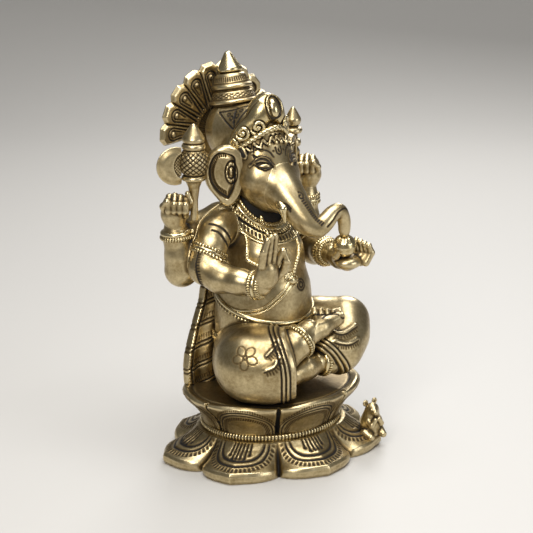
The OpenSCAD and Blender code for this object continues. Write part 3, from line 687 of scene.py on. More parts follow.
def figure_body():
    """The whole torso with its cavity open at the foot, and clay for the bands that lie on it."""
    body = Clay(*box_of([TORSO, SHOULDERS, NECK]), MEDIUM)
    body.limb(TORSO, 8).limb(SHOULDERS, 6).limb(NECK, 5).limb(CHEST, 9)
    arms = body.like()
    for line in (RIGHT_FRONT_ARM, LEFT_FRONT_ARM, RIGHT_REAR_ARM, LEFT_REAR_ARM):
        arms.limb(line, 5)
    shape = body.like()
    shape.d = body.d
    shape.meet(arms, 5)
    cavity = [
        [0, 14, 54, 23], [0, 12, 78, 28.5], [-1, 10, 96, 30.5], [-1.5, 9, 112, 30.5],
        [-1.5, 9, 128, 28], [-1, 15, 158, 20],
    ]
    for a, b in zip(cavity[:-1], cavity[1:]):
        shape.carve(cone(a, b))
    for side in FIGURE_BOLTS:
        shape.carve(cone([side, 14, 50, BOLT_R + 0.1], [side, 14, 64, BOLT_R + 0.1]))
    navel = shape.snap([[-4, -40, 112]])[0]
    shape.carve(egg(navel, (3.2, 2.4, 2.6)), 1.6)
    return body, stand(shape)


def make_torso():
    """The torso, its belt, cord, thread, necklace and pendant."""
    body, shape = figure_body()
    at = body.snap([[8, -28, 138]])[0]
    axes = frame_of(shape.slope([at])[0])
    for r in (2.2, 4.4):
        shape.groove(circle(at, axes, r, np.arange(0, ROUND, 0.5 / r)), 0.45, 0.35)
    # painted shade: the neck is darkened above a line that rises towards the nape, under the head
    cut, x, y, z = shape.window((-60, -60, 160), (60, 30, 215))
    nape = 21 * (1 + np.sin(np.arctan2(y - 20, x + 2)))
    shape.mark_patina_and_shade(cut, 0.85 * smooth_step(z - 171 - nape, 0, 2.5))
    piece("torso", shape)
    ropes = [(-3.2, 0.4, 1.5, 60), (0, 0.6, 1.9, 0), (3.2, 0.4, 1.5, 60)]
    belt = wrap(body, (0, 0, 92), (0, 0.07, 1), ropes)
    piece("waist_belt", stand(belt), BRIGHT)
    ropes = [(-1.9, 0.4, 1.4, 110), (1.1, 0.5, 1.6, 0)]
    cord = wrap(body, (0, -20, 112.5), (0, -math.sin(math.radians(16)), 0.96), ropes)
    piece("belly_cord", cord, BRIGHT)
    ropes = [
        (0, 31, 1.2, 90), (2.7, 28, 1.3, 0), (5.2, 25.4, 1.2, 80), (9.4, 21, 2.2, -66), (12.8, 18, 0.9, 0),
    ]
    chain = drape(body, (-2, 20, 183), ropes, (-60, -60, 150), (60, 27, 214))
    piece("necklace", chain, BRIGHT)
    piece("sacred_thread", make_thread(body), BRIGHT)
    at = body.snap([[-1.5, -27, 143]])[0]
    boss = Clay(at - 12, at + 12)
    out = [-0.1, -math.sin(math.radians(78)), math.cos(math.radians(78))]
    plate = [(0, -3), (5.6, -3), (6.2, -0.5), (5.6, 0.6), (4.4, 0.8), (0, 0.8)]
    boss.add(turned(plate, at, out, lambda a, w: 0.35 * wave(a, ROUND / 14)))
    boss.add(turned([(0, 0), (4, 0), (3.8, 1.6), (2.4, 3.2), (0, 3.8)], at, out), 0.3)
    piece("pendant", boss, BRIGHT)


def make_thread(body):
    """The beaded strings that meet at the pendant, and the broad thread that goes on round the belly."""
    clay = body.like()
    knot = [-1.5, -28, 143]
    strings = [
        [[13, -2, 190], [14, -12, 176], [11.5, -22, 160], knot],
        [[-13, -4, 190], [-12, -14, 176], [-8, -24, 158], knot],
        [[-31, 5, 200], [-31, 0, 186], [-30, -4, 172], [-27, -6, 159]],
        [[-27, -6, 159], [-20, -16, 154], [-10, -24, 150], knot],
    ]
    for line in strings:
        for k, q in enumerate(body.snap(smooth_line(line, 1.1))):
            clay.add(ball(q, 1.6 if k % 2 else 1.3), 0.3)
    low = [knot, [-8, -29, 137], [-15, -28, 131], [-26.8, -21.3, 121.9], [-37, -8, 119], [-41, 6, 120]]
    back = [[14, 0, 186], [28, 12, 178], [20, 36, 172], [0, 44, 150], [-26, 34, 128], [-41, 6, 120]]
    for line, apart in ((low, 1.45), (back, 1.2)):
        path = body.snap(smooth_line(line, 0.7))
        run = np.gradient(path, axis=0)
        side = np.cross(run, body.slope(path))
        side = side / np.maximum(np.linalg.norm(side, axis=1, keepdims=True), 1e-6)
        for way in (-1, 1):
            for q in body.snap(path + side * apart * way, 3):
                clay.add(ball(q, 1.25), 0.1)
    return clay


def hem(clay, at, out, limit, curve=0.0, first=-4.6):
    """Smooth ridges and dark lines beside a hem, on clay that ends there."""

    def past(x, y, z):
        return across(x, y, z, at, out) + curve * (np.maximum(z - at[2] + 4, 0) / 26) ** 2

    def height(x, y, z):
        h = past(x, y, z) - first
        lines = bump(h, 0, 0.5) + bump(h, -3.2, 0.5) + bump(h, -6.4, 0.5)
        ridges = bump(h, -1.6, 0.9) + bump(h, -4.8, 0.9)
        return (0.8 * ridges - 0.95 * lines) * limit(x, y, z)

    clay.relief(height)
    clay.keep(past, 0.8)


def fold(clay, line, ticks=3.0):
    """A crescent fold with a fringe of ticks under it."""
    lift = clay.snap(smooth_line(np.array(line, float) + [0, 0, 1.6], 1.0))
    for q in lift - clay.slope(lift) * 0.7:
        clay.add(ball(q, 1.5), 1.5)
    path = clay.snap(smooth_line(line))
    clay.groove(path, 0.55, 0.7, 0.8)
    for p, q in zip(path[3:-2:4], path[4::4]):
        out = clay.slope([p])[0]
        down = unit(np.cross(q - p, out))
        if down[2] > 0:
            down = -down
        mark = [p + down * t for t in np.arange(1.5, 1.5 + ticks, 0.5)]
        clay.groove(mark, 0.4, 0.35, 0.6)


def flower(clay, at, r, petals):
    """An engraved flower."""
    at, axes = clay.spot(at, UP)
    for k in range(petals):
        a = ROUND * (k + 0.5) / petals
        way = axes[0] * math.cos(a) + axes[1] * math.sin(a)
        side = axes[1] * math.cos(a) - axes[0] * math.sin(a)
        loop = [at + way * r * (0.62 - 0.44 * math.cos(t)) + side * r * 0.34 * math.sin(t)
                for t in np.linspace(0, ROUND, 26)]
        clay.groove(loop, 0.4, 0.4, 0.5)
    clay.groove(circle(at, axes, 1.2, np.linspace(0, 6.3, 14)), 0.4, 0.4, 0.5)


def make_legs():
    """Both legs in their folded cloth, and the bare shins that come out of it."""
    clay = grown(RIGHT_THIGH, [TORSO], 9, 3)
    hem(clay, RIGHT_HEM, RIGHT_HEM_OUT, lambda x, y, z: smooth_step(-y, -6, 4), 6.0)
    fold(clay, [(-50, -55.6, 98.7), (-42.2, -55.8, 104.2), (-35, -51.5, 108.6)])
    fold(clay, [(-53.4, -57.3, 87.9), (-47.1, -61.7, 91.2), (-41.9, -61.2, 97.7)])
    flower(clay, (-60.2, -42.7, 97.5), 9.5, 5)
    cover_clay(clay, Clay(*box_of([RIGHT_SHIN]), MEDIUM).limb(RIGHT_SHIN, 4))
    piece("right_leg", stand(clay))
    clay = grown(LEFT_THIGH, [TORSO], 8, 2)
    hem(clay, LEFT_HEM, LEFT_HEM_OUT, lambda x, y, z: smooth_step(-y, 2, 10), first=-2.0)
    fold(clay, [(24.2, -40.6, 100.7), (27.6, -45.9, 98.3), (34.2, -47.2, 97.5), (47.1, -45.8, 100.4)], 2.0)
    fold(clay, [(22, -49, 93.6), (27.4, -51.6, 91.4), (34.2, -52.7, 90.2), (43.5, -52.7, 91.7)], 2.0)
    cover_clay(clay, Clay(*box_of([LEFT_SHIN]), MEDIUM).limb(LEFT_SHIN, 4))
    piece("left_leg", stand(clay))


def cover_clay(clay, other):
    """Adds another block of the same cell size to this one, which grows to hold it."""
    first = np.minimum(clay.first, other.first)
    last = np.maximum(clay.first + clay.d.shape, other.first + other.d.shape)
    d = np.full(last - first, FAR, np.float32)
    ink = np.zeros(last - first, np.float32)
    for block in (clay, other):
        start = block.first - first
        cut = tuple(slice(a, a + n) for a, n in zip(start, block.d.shape))
        ink[cut] = np.where(block.d <= d[cut], block.ink, ink[cut])
        d[cut] = np.minimum(d[cut], block.d)
    clay.first, clay.d, clay.ink = first, d, ink


def make_feet():
    """The upturned right foot, a flat sole with toes along its far edge, and the left foot under it."""
    corners = np.array(RIGHT_SOLE, float)
    middle = corners.mean(axis=0)
    out = unit(np.cross(corners[1] - corners[0], corners[3] - corners[0]))
    axes = frame_of(out, corners[1] - corners[0])
    clay = Clay(corners.min(axis=0) - 13, corners.max(axis=0) + 9)
    _, x, y, z = clay.window()
    u, v, w = local(x, y, z, middle, axes)
    plate = outline_distance(flattened(corners, middle, axes), u, v) + 3.4
    sink = 1.4 * bump(np.hypot(u + 1, v * 1.4), 0, 9)
    slab = np.abs(w + 3.6) - 3.0 + np.where(w > -3.6, sink, 0)
    round_edge = np.hypot(np.maximum(plate, 0), np.maximum(slab, 0)) - 1.9
    clay.d = np.float32(round_edge + np.minimum(np.maximum(plate, slab), 0))
    clay.limb([[3, -42, 103, 9], [14, -43, 106, 7.4], [28, -44, 109, 4.5]], 3)
    edge = corners[2] - corners[3]
    inward = unit(corners[0] - corners[3])
    for k in range(5):
        r = 2.7 - 0.1 * k
        at = corners[3] + edge * (0.12 + 0.19 * k) + inward * (1.0 + 1.5 * k)
        clay.add(cone([*(at + inward * 2.6), r], [*(at + out * 1.2), r - 0.1]), 0.3)
        crease = [at + inward * (5.2 + 0.1 * t) + edge / 24 * t for t in np.arange(-3, 3.1, 0.8)]
        clay.groove(crease, 0.4, 0.4)
    path = [middle + axes[0] * a + axes[1] * b + out * 0.4 for a, b in [(-9, -3), (-2, 0), (6, 0)]]
    clay.groove(smooth_line(path), 0.45, 0.3)
    piece("right_foot", clay)
    low, high = box_of([LEFT_SOLE])
    clay = Clay(low - [8, 0, 0], high).limb(LEFT_SOLE, 5)
    for k in range(4):
        clay.add(cone([-12, -43 + 2.8 * k, 74, 3.6], [-18, -44 + 3.4 * k, 71.4, 3.1]), 1)
    piece("left_foot", clay)


# Name, limb, place, direction of the limb, its radius, number of ropes and their thickness.
BANGLES = [
    ("right_anklet", RIGHT_SHIN, (-6, -42, 100), (14, 1, 7), 11, 2, 1.7),
    ("left_anklet", LEFT_SHIN, (17, -39, 77), (-12, 0, 1), 10, 2, 1.6),
    ("right_front_bracelet", RIGHT_FRONT_ARM, (-43.9, -37.4, 149), (5, -12, 1), 9, 3, 1.8),
    ("left_front_bracelet", LEFT_FRONT_ARM, (41.7, -17.5, 155), (-2, -12, 1), 9, 3, 1.5),
    ("right_rear_bracelet", RIGHT_REAR_ARM, (-68, 31, 178), (-0.6, 0.4, 15), 10, 2, 2.0),
    ("left_rear_bracelet", LEFT_REAR_ARM, (58, 28, 187), (-0.5, -1, 16), 9, 3, 1.5),
    ("right_armlet", RIGHT_FRONT_ARM, (-53, 8, 165.5), (0.513, 0.05, 0.854), 14, 3, 1.4),
    ("left_armlet", LEFT_FRONT_ARM, (45.5, 22.5, 166), (9, -1, -13), 13, 3, 1.4),
]


def make_bangles():
    """Anklets, bracelets and armlets: ropes round a limb, square to its run."""
    for name, line, at, way, r, rows, thick in BANGLES:
        clay = Clay(np.array(at) - r - 6, np.array(at) + r + 6)
        limb = clay.like().limb(line, 3)
        cut, x, y, z = clay.window()
        u, v, h = local(x, y, z, at, frame_of(way))
        turn = np.arctan2(v, u)
        d, ink = clay.d, clay.ink
        for k in range(rows):
            ticks = 0.28 * np.cos(turn * 34) * (k % 2 == 0)
            rope = np.hypot(limb.d - 0.5, h - (k - (rows - 1) / 2) * thick * 1.75) - thick - ticks
            ink = np.where(rope < d, -2.5 * ticks, ink)
            d = np.minimum(d, rope)
        clay.d = np.float32(np.maximum(d, np.sqrt(u * u + v * v + h * h) - r - 4))
        clay.mark_patina_and_shade(cut, ink)
        piece(name, clay, BRIGHT)


def make_arms():
    """The four arms."""
    body = [TORSO, SHOULDERS]
    clay = grown(RIGHT_FRONT_ARM, body, 5, 5)
    sleeve = [
        [(-52.6, 9.9, 187.8), (-49.4, 5.4, 187.1), (-44.9, 1.5, 183.6), (-39.5, 1.2, 175.7), (-31, 5, 163)],
        [(-53.1, 5.7, 184.1), (-49.4, 1.9, 182), (-45.6, -0.5, 175.6), (-41, 1, 168)],
    ]
    for arch in sleeve:
        clay.groove(smooth_line(arch), 0.6, 0.6)
    seam = [(-65.6, 5.4, 170.9), (-70.6, 2.6, 163.1), (-71.8, -0.1, 154.7), (-66.1, 0.3, 144.1)]
    seam = smooth_line(seam)
    clay.groove(seam, 0.6, 0.6)
    for k in range(4, len(seam) - 2, 4):
        clay.groove([seam[k] + np.array([0.7, -0.7, 0]) * t for t in (1.6, 2.1, 2.6)], 0.4, 0.35)
    piece("right_front_arm", clay)
    piece("left_front_arm", grown(LEFT_FRONT_ARM, body, 5, 5))
    piece("right_rear_arm", grown(RIGHT_REAR_ARM, body + [RIGHT_FRONT_ARM], 5, 4))
    piece("left_rear_arm", grown(LEFT_REAR_ARM, body + [LEFT_FRONT_ARM], 5, 4))


def finger(clay, a, b, c, r):
    """A finger of two joints with a rounded tip."""
    clay.add(cone([*a, r + 0.4], [*b, r + 0.2]), 1.0)
    clay.add(cone([*b, r + 0.2], [*c, r - 0.35]), 0.6)
    clay.add(ball(c, r - 0.1), 0.5)


def make_front_hands():
    """The raised right hand and the left hand that holds the sweet."""
    clay = Clay([-60, -60, 136], [-18, -22, 198])
    clay.limb([[-44, -37, 149, 7.8], [-41.5, -41, 154, 8], [-40, -44.5, 163, 6.4]], 4)
    clay.add(egg((-40, -44.5, 160), (10, 5.2, 12)), 3)
    for i, tip in enumerate((186.5, 188.5, 188.5)):
        x = 4.8 * i - 46.8
        finger(clay, (x, -46, 167), (x - 0.2, -48.6, 178), (3.6 * i - 44.4, -49.6, tip), 2.6)
    finger(clay, (-33.5, -46, 166), (-29.5, -49.5, 176), (-26.8, -51.5, 168), 2.6)
    finger(clay, (-34, -41, 152), (-27, -47, 160), (-27.4, -50.5, 168.5), 3.1)
    piece("right_front_hand", clay)
    clay = Clay([22, -68, 140], [64, -14, 180])
    clay.limb([[40.5, -24, 155, 7.4], [40.5, -33, 154, 7.6], [40, -42, 153, 7]], 4)
    clay.add(egg((38.4, -45, 154), (11, 9.6, 5.6)), 3)
    for i in range(4):
        finger(clay, (41.5 + 2.6 * i, -43.5 - 3.2 * i, 153), (48.6 + 1.7 * i, -46 - 2.8 * i, 160.5),
               (46 + 1.8 * i, -45.5 - 2.8 * i, 170 - 1.2 * i), 2.5)
    finger(clay, (34, -36, 155), (27.5, -43, 160), (28.5, -49, 167), 2.8)
    piece("left_front_hand", clay)


def fist(name, at, wrist_r, reach, front):
    """A fist at the end of a rear arm: four fingers that curl over and down, and a thumb."""
    at, reach, front = np.array(at, float), np.array(reach, float), np.array(front, float)
    up = np.array(UP, float)
    clay = Clay(at - [20, 20, 22], at + [20, 20, 24])
    palm = [*(at - 3 * up - 2 * reach), 8.6], [*(at + 4 * up - 2.4 * reach), 7.8]
    clay.limb([[*(at - 12 * up), wrist_r], *palm], 4)
    clay.add(ball(at + 4 * reach - up, 6.4), 3)
    for i in range(4):
        root = at + reach * (4.3 * i - 4.6) + front * (0.5 * i)
        knuckle = root + front * 7.4 + up * 6.5
        top = root + up * (11.5 - 0.9 * abs(i - 1)) + front * 1.5
        finger(clay, root + up * 7 - front * 3, top, knuckle, 2.5)
        finger(clay, knuckle, root + front * 7.6 + up * 1.5, root + front * 4.4 - up * 2.5, 2.35)
    finger(clay, at - 6.4 * reach + 2 * front - up * 3, at - 8.6 * reach + 5 * front + up * 4,
           at - 5.6 * reach + 8 * front + up * 8.4, 2.9)
    finger(clay, at + 9 * reach + up * 2, at + 11.6 * reach + front * 3.6 + up * 8,
           at + 9.6 * reach + front * 4.4 + up * 14, 2.3)
    piece(name, clay)


def make_rear_hands():
    """The fists that hold the mace and the staff."""
    fist("right_rear_hand", (-68.5, 30, 197), 7.6, (0.74, -0.67, 0), (-0.67, -0.74, 0))
    fist("left_rear_hand", (58, 27.5, 209), 7.2, (-0.7, 0.71, 0), (-0.71, -0.7, 0))


# ---- head, ears and trunk ----

FACE_MIDDLE = -3.0
RIGHT_EAR_RIM = [
    [-26.5, 6, 239], [-34, 12, 243], [-41.5, 18, 239], [-45, 21.5, 228], [-43.5, 21, 216],
    [-38, 16, 206], [-33.5, 11, 200.5], [-29, 6.5, 207], [-26.5, 4, 220],
]


def make_head():
    """The head, with heavy cheeks, half-closed eyes and a garland under the crown's rope."""
    clay = Clay(*box_of([SKULL, BROW, CHEEKS, JAW]))
    clay.limb(SKULL, 8).limb(BROW, 8).limb(BROW_SIDES, 6).limb(CHEEKS, 8).limb(JAW, 7)
    clay.meet(clay.like().limb(TRUNK, 5), 6)
    clay.d = np.maximum(clay.d, -clay.like().limb(NECK, 5).d - 3)
    for flip in (False, True):
        add_garland(clay, flip)
        add_eye(clay, flip)
    for side in (-1, 1):
        mark = [(side * 2.6, -12, 244), (side * 2.2, -12, 239.5), (0, -12, 237.5)]
        clay.groove(smooth_line(mark) + [FACE_MIDDLE, 0, 0], 0.5, 0.5)
        clay.groove([(FACE_MIDDLE + side * 5, -12, 241.5)] * 2, 0.7, 0.6)
    clay.groove([(FACE_MIDDLE, -12, z) for z in (240.5, 241, 241.5, 242)], 0.6, 0.6)
    piece("head", clay)


def add_garland(clay, flip):
    """Swags of a garland on the forehead, and the leaf bud in front of the ear."""
    hooks = [
        [-24.4, 0.5, 243.2], [-20, -3, 246.6], [-14.2, -6.4, 249.4], [-7.4, -8.4, 251.2],
        [-3, -8.8, 251.6],
    ]
    hooks = on_side(hooks, flip)
    for a, b in zip(hooks[:-1], hooks[1:]):
        middle = (a + b) / 2 - [0, 2, 3.6]
        swag = smooth_line([a, middle, b], 0.7)
        clay.groove(swag + [0, 0, 1.5], 0.7, 0.7)
        clay.bead(swag, 1.1, 0.5, 0.2)
        clay.groove(swag - [0, 0, 1.5], 0.55, 0.55)
        clay.bead([middle], 1.5, 0.5, 0.3)
    at, axes = clay.spot(on_side([-24.6, 3.4, 239.6], flip), (0.78 if flip else -0.78, 0, 0.62))
    out = axes[2]
    clay.add(egg(at + out * 0.8, (5.6, 3.3, 1.9), axes), 0.4)
    for k in (-1, 0, 1):
        vein = [at + axes[0] * t + axes[1] * k * (1.5 - 0.04 * t * t) for t in np.arange(-4, 4.1, 0.5)]
        clay.groove(vein + out * 3, 0.45, 0.45)


def add_eye(clay, flip):
    """An almond eye with a ball, two lids, a fold above them and a double brow."""
    at, (rise, along, out) = clay.spot(on_side([-17.6, -11.8, 231.4], flip), UP)
    if (along @ [1, 0, 0] < 0) != flip:
        along = -along

    def line(points):
        return smooth_line([at + along * u + rise * v + out * 2 for u, v in points], 0.45)

    turned_in = np.array([rise, along, out])
    clay.carve(egg(at + out * 0.9 - along * 0.5, (3.2, 7.2, 1.7), turned_in), 1.0)
    clay.add(egg(at - out * 1.5 + along * 0.4 - rise * 0.3, (2.7, 5.2, 3.0), turned_in), 0.2)
    upper = [(-12.5, 0.2), (-8, 2.4), (-2.6, 3.7), (2.6, 3.1), (6.4, 1), (9, -1.6)]
    lower = [(-6.4, -0.2), (-2.6, -2.6), (0.8, -3.5), (4, -2.8), (6.8, -1.2)]
    clay.bead(line(upper), 0.95, 0.4, 0.4)
    clay.bead(line(lower), 0.75, 0.3, 0.4)
    clay.groove(line([(u, v + 1.6) for u, v in upper]), 0.55, 0.6)
    clay.groove(line([(-6.6, -0.1), (-2.6, 1.4), (2, 1.6), (7, -0.8)]), 0.5, 0.6)
    clay.groove(line([(-6.6, -0.2), (-2.6, -1.5), (0.8, -2.3), (4, -1.7), (7, -0.8)]), 0.5, 0.55)
    clay.groove(line([(u, v - 1.3) for u, v in lower]), 0.45, 0.4)
    fold = [(-10.5, 4.6), (-6, 7), (-1.5, 8), (3.5, 7), (7.6, 4), (9.4, 1.4)]
    clay.bead(line([(u, v - 1.2) for u, v in fold]), 0.8, 0.3, 0.6)
    clay.groove(line(fold), 0.6, 0.65)
    clay.groove(line([(-9.5, 9.8), (-4.5, 11.6), (1, 11.8), (6, 10), (9, 7)]), 0.5, 0.55)


def make_trunk():
    """The trunk: it curls to the idol's left and up over the sweet."""
    clay = Clay(*box_of([TRUNK])).limb(smooth_line(TRUNK, 1.2), 1.5)
    clay.meet(clay.like().limb(SKULL, 8).limb(CHEEKS, 8).limb(JAW, 7).limb(BROW, 8), 6)
    ridge = clay.snap(smooth_line([(-2, -39, 207), (0, -44, 201), (2, -48.5, 196), (5.5, -53, 191)], 1.7))
    for p, run in zip(ridge, np.gradient(ridge, axis=0)):
        side = unit(np.cross(run, clay.slope([p])[0]))
        clay.groove([p + side * t for t in (-1.2, -0.6, 0, 0.6, 1.2)], 0.5, 0.5)
    at, axes = clay.spot([-2.4, -37.2, 210.6], UP)
    turns = np.arange(0, 6.5, 0.16)
    clay.groove(circle(at, axes, 0.8 + 0.42 * turns, turns), 0.5, 0.55)
    for side in (-1, 1):
        for drop in (0, 1.9):
            lip = [(12, -28.4 - drop * 0.4, 206), (10.2, -33, 205.3), (8.6, -36.4, 202.4)]
            lip = smooth_line(lip) * [side, 1, 1] - [3, 0, drop]
            clay.groove(lip, 0.55, 0.55)
    line = [(9, -54, 189), (14, -54.6, 193), (20, -54, 198), (27, -53, 199.5), (33, -51, 195)]
    clay.groove(clay.snap(smooth_line(line)), 0.45, 0.45)
    nostril = np.array(TRUNK[-1][:3]) - [0, 0, 3.4]
    clay.carve(ball(nostril, 1.7), 0.8)
    piece("trunk", clay)


def make_tusks():
    """The whole right tusk and the broken left one."""
    lines = {
        "right_tusk": [[-11.8, -22.2, 207, 3.9], [-14.2, -31, 201.5, 3.6], [-14.2, -33.2, 191.9, 1]],
        "left_tusk": [[5.8, -22.2, 207, 3.9], [8.2, -31, 201.5, 3.6], [8.2, -32.2, 197, 2.9]],
    }
    for name, line in lines.items():
        clay = Clay(*box_of([line])).limb(line, 1)
        if name == "left_tusk":
            clay.keep(lambda x, y, z: 197.5 - z, 0.4)
        piece(name, clay, BRIGHT)


def make_ear(flip):
    """An ear: a sunk plate inside a broad bevelled rim, with a half rosette and a hatched edge."""
    rim = smooth_line(on_side(RIGHT_EAR_RIM, flip), 1.0, closed=True)
    middle = rim.mean(axis=0)
    out = unit(np.linalg.svd(rim - middle)[2][2])
    if out[1] > 0:
        out = -out
    axes = frame_of(out, UP)
    clay = Clay(rim.min(axis=0) - 6, rim.max(axis=0) + 6)
    cut, x, y, z = clay.window()
    u, v, w = local(x, y, z, middle, axes)
    inside = 2.6 - outline_distance(flattened(rim[::4], middle, axes), u, v)
    way = -1 if flip else 1
    v = v * way
    step = 6.0 - 2.4 * smooth_step(v, -4, 6)
    height = 2.9 * smooth_step(inside, -0.2, 1.6) + 0.5 * smooth_step(inside, 1.6, step - 1)
    height = height - 3.6 * smooth_step(inside, step, step + 1)
    height = height + 1.4 * smooth_step(inside, step + 1.2, step + 5)
    gap = bump(inside, step + 1.2, 0.6)
    ticks = wave(np.arctan2(u, v) * 15, 1.7) * band(inside, step + 2, step + 2.4, step + 4, step + 4.4)
    ticks = ticks * (v > -1)
    inner = on_side([-32, 8.6, 224.6], flip) - middle
    rise, along = u - axes[0] @ inner, v - axes[1] @ inner * way
    oval = np.hypot(rise / 7.8, along / 4.2)
    rose = smooth_step(1.15 - oval, 0, 0.12)
    scallop = 0.9 * wave(np.arctan2(rise / 8.6, along / 4.2), ROUND / 12) * bump(oval, 0.85, 0.16)
    lines = np.maximum(bump(oval, 1.12, 0.09), bump(oval, 0.6, 0.08))
    height = height + rose * (0.5 + scallop + 1.4 * smooth_step(0.4 - oval, 0, 0.25))
    height = height - 0.9 * lines - 0.5 * ticks
    clay.d = np.float32(np.maximum(np.maximum(w - height, -w - 1.9), -inside))
    clay.mark_patina_and_shade(cut, np.maximum(np.maximum(gap, 0.9 * ticks), lines) * (w > -1))
    name = "left_ear" if flip else "right_ear"
    piece(name, clay)


# ---- crown, halo and what the hands hold ----

CROWN_AT = np.array([-4.5, 39.9, 268])
CROWN_LEAN = math.radians(12)
CROWN_UP = np.array([0, math.sin(CROWN_LEAN), math.cos(CROWN_LEAN)])
DOME = [[-4.5, 34, 249, 26], [-4, 16, 252, 20.5], [-4, 15, 256, 18.5]]
BROW_BAND = [
    [-26.5, 8, 242.5], [-20.4, -1.6, 250], [-12, -7.4, 256], [-4, -9.8, 258.2],
    [4, -7.4, 256], [12, -1.6, 250], [18.5, 8, 242.5],
]
JEWEL_AT = np.array([-4, -8.0, 273.4])
JEWEL_OUT = unit([0, -0.92, 0.39])
CREST = [
    [-23.5, 13, 247, 5], [-20, 7.5, 255.5, 6.4], [-13, 3, 262, 7.6], [-8, 2.5, 269, 9.6],
    [-4, 2.5, 271.5, 10.5], [0, 2.5, 269, 9.6], [5, 3, 262, 7.4], [11, 7.5, 255.5, 6.2], [15, 13, 247, 5],
]


def make_crown_bowl():
    """The crown's dome, with engraved panels, cut off where the tiers stand."""
    clay = Clay(*box_of([DOME])).limb(DOME, 4)
    clay.keep(lambda x, y, z: across(x, y, z, CROWN_AT, CROWN_UP), 1.5)
    for flip in (False, True):
        top, side, tip = on_side([[-25.7, 32.9, 266.7], [-12, 9, 275], [-29.6, 14, 255.5]], flip)
        for a, b in ((top, tip), (side, tip), ((top + side) / 2, tip), (top, side)):
            clay.groove([a + (b - a) * t for t in np.linspace(0, 1, 60)], 0.6, 0.6)
        for i in range(1, 4):
            for j in range(1, 5 - i):
                at, axes = clay.spot(tip + (top - tip) * i / 5 + (side - tip) * j / 5)
                turns = np.linspace(0, 5.2, 14) + i
                clay.groove(circle(at, axes, 1.3 + 0.3 * ((i + j) % 2), turns), 0.45, 0.45)
    piece("crown_bowl", clay)


def make_diadem():
    """The crest on the crown's front, with an oval jewel and spirals that shrink towards the ears."""
    clay = Clay(*box_of([CREST])).limb(smooth_line(CREST, 2), 2.5)
    for flip in (False, True):
        spots = on_side([[-16.6, -3.4, 259.9], [-24.8, 3.6, 255.3], [-27, 11, 247]], flip)
        for at, r in zip(spots, (6.0, 5.6, 4.0)):
            add_scroll(clay, at, r, -1 if flip else 1)
        edge = on_side([[-13, 0, 277], [-20, 4, 268], [-26.5, 10, 257]], flip)
        clay.groove(smooth_line(edge), 0.6, 0.5)
    axes = frame_of(JEWEL_OUT, [1, 0, 0])

    def oval(rx, ry, step):
        turns = np.arange(0, ROUND, step / ry)
        return [JEWEL_AT + axes[0] * math.cos(t) * rx + axes[1] * math.sin(t) * ry for t in turns]

    clay.carve(egg(JEWEL_AT + JEWEL_OUT * 0.6, (5.6, 8.8, 2.4), axes), 0.4)
    clay.bead(oval(6.8, 10.2, 1.3), 1.35, 0.4, 0.2)
    clay.groove(oval(8.6, 12, 0.5), 0.6, 0.6)
    clay.groove(oval(5.2, 8.4, 0.5), 0.8, 0.7)
    piece("diadem", clay, BRIGHT)
    gem = Clay(JEWEL_AT - 12, JEWEL_AT + 12)
    gem.add(egg(JEWEL_AT - JEWEL_OUT * 1.2, (4.2, 7.3, 3.6), axes))
    piece("diadem_jewel", gem, BRIGHT)


def add_scroll(clay, at, r, side):
    """A raised spiral rope, with patina between its turns."""
    at, axes = clay.spot(at, UP)
    out = axes[2]

    def spiral(share):
        turns = np.linspace(0, 1, int(r * 14))
        reach = r * (1 - 0.8 * turns) * share
        return circle(at, axes, reach, side * (2.2 + turns * ROUND * 1.35))

    clay.carve(egg(at + out * 0.4, (r * 1.02, r * 1.02, 1.2), axes), 0.3)
    clay.groove(spiral(1.3)[: int(r * 8)], 0.6, 0.6)
    clay.groove(spiral(0.72), 0.55, 0.5)
    for k, q in enumerate(spiral(1.0)):
        clay.add(ball(q + out * 0.2, 1.15 + 0.12 * (k % 2)), 0.2)
    clay.add(ball(at + out * 0.2, 1.3), 0.2)


def make_crown_band():
    """The twisted rope along the crown's lower edge."""
    clay = Clay(*box_of([[[*p, 4] for p in BROW_BAND]], 6))
    path = smooth_line(BROW_BAND, 0.7)
    for k, (p, way) in enumerate(zip(path, np.gradient(path, axis=0))):
        turns = [k * 0.42 + ROUND * phase / 3 for phase in range(3)]
        for q in circle(p, frame_of(way, UP), 1.15, turns):
            clay.add(ball(q, 1.35), 0.2)
    piece("crown_band", clay, BRIGHT)


def crossed(a, b, turns, slant):
    """Crossed lines round a turned shape, from the angle and the height."""
    return bump(np.sin(a * turns + b * slant), 0, 0.3) + bump(np.sin(a * turns - b * slant), 0, 0.3)


def lower_relief(a, w):
    """Curls between two lines on the lower tier."""
    curls = np.minimum(crossed(a, w, 11, 1.5), 1)
    return -0.6 * curls * band(w, 5.2, 5.8, 8.8, 9.4) - 0.5 * bump(w, 4.8, 0.4)


def upper_relief(a, w):
    """Ticks over a line on the upper tier."""
    return -0.55 * wave(a, ROUND / 44) * band(w, 17.4, 18, 21, 21.6) - 0.45 * bump(w, 16.6, 0.4)


# Each tier's outline of radius and height, its relief and its slot.
TIERS = {
    "crown_lower_tier": ([
        (0, 0), (16.6, 0), (16.8, 1), (18.4, 1.3), (19.2, 2.2), (19.2, 3.4), (18.2, 4.3), (15.6, 9.4),
        (14.6, 10.6), (13.6, 11), (0, 11)], lower_relief, ANTIQUE),
    "crown_upper_tier": ([
        (0, 10.8), (13.2, 10.8), (13.4, 12.2), (15, 12.5), (15.8, 13.4), (15.8, 14.8), (14.8, 15.9),
        (11.2, 23), (10, 24), (0, 24)], upper_relief, ANTIQUE),
    "crown_finial": ([
        (0, 23.8), (7.8, 23.8), (8, 24.8), (9, 25.1), (9.8, 26.2), (9.6, 27.8), (8.8, 29.2), (3, 39),
        (1.8, 40.4), (0, 41)], None, BRIGHT),
}


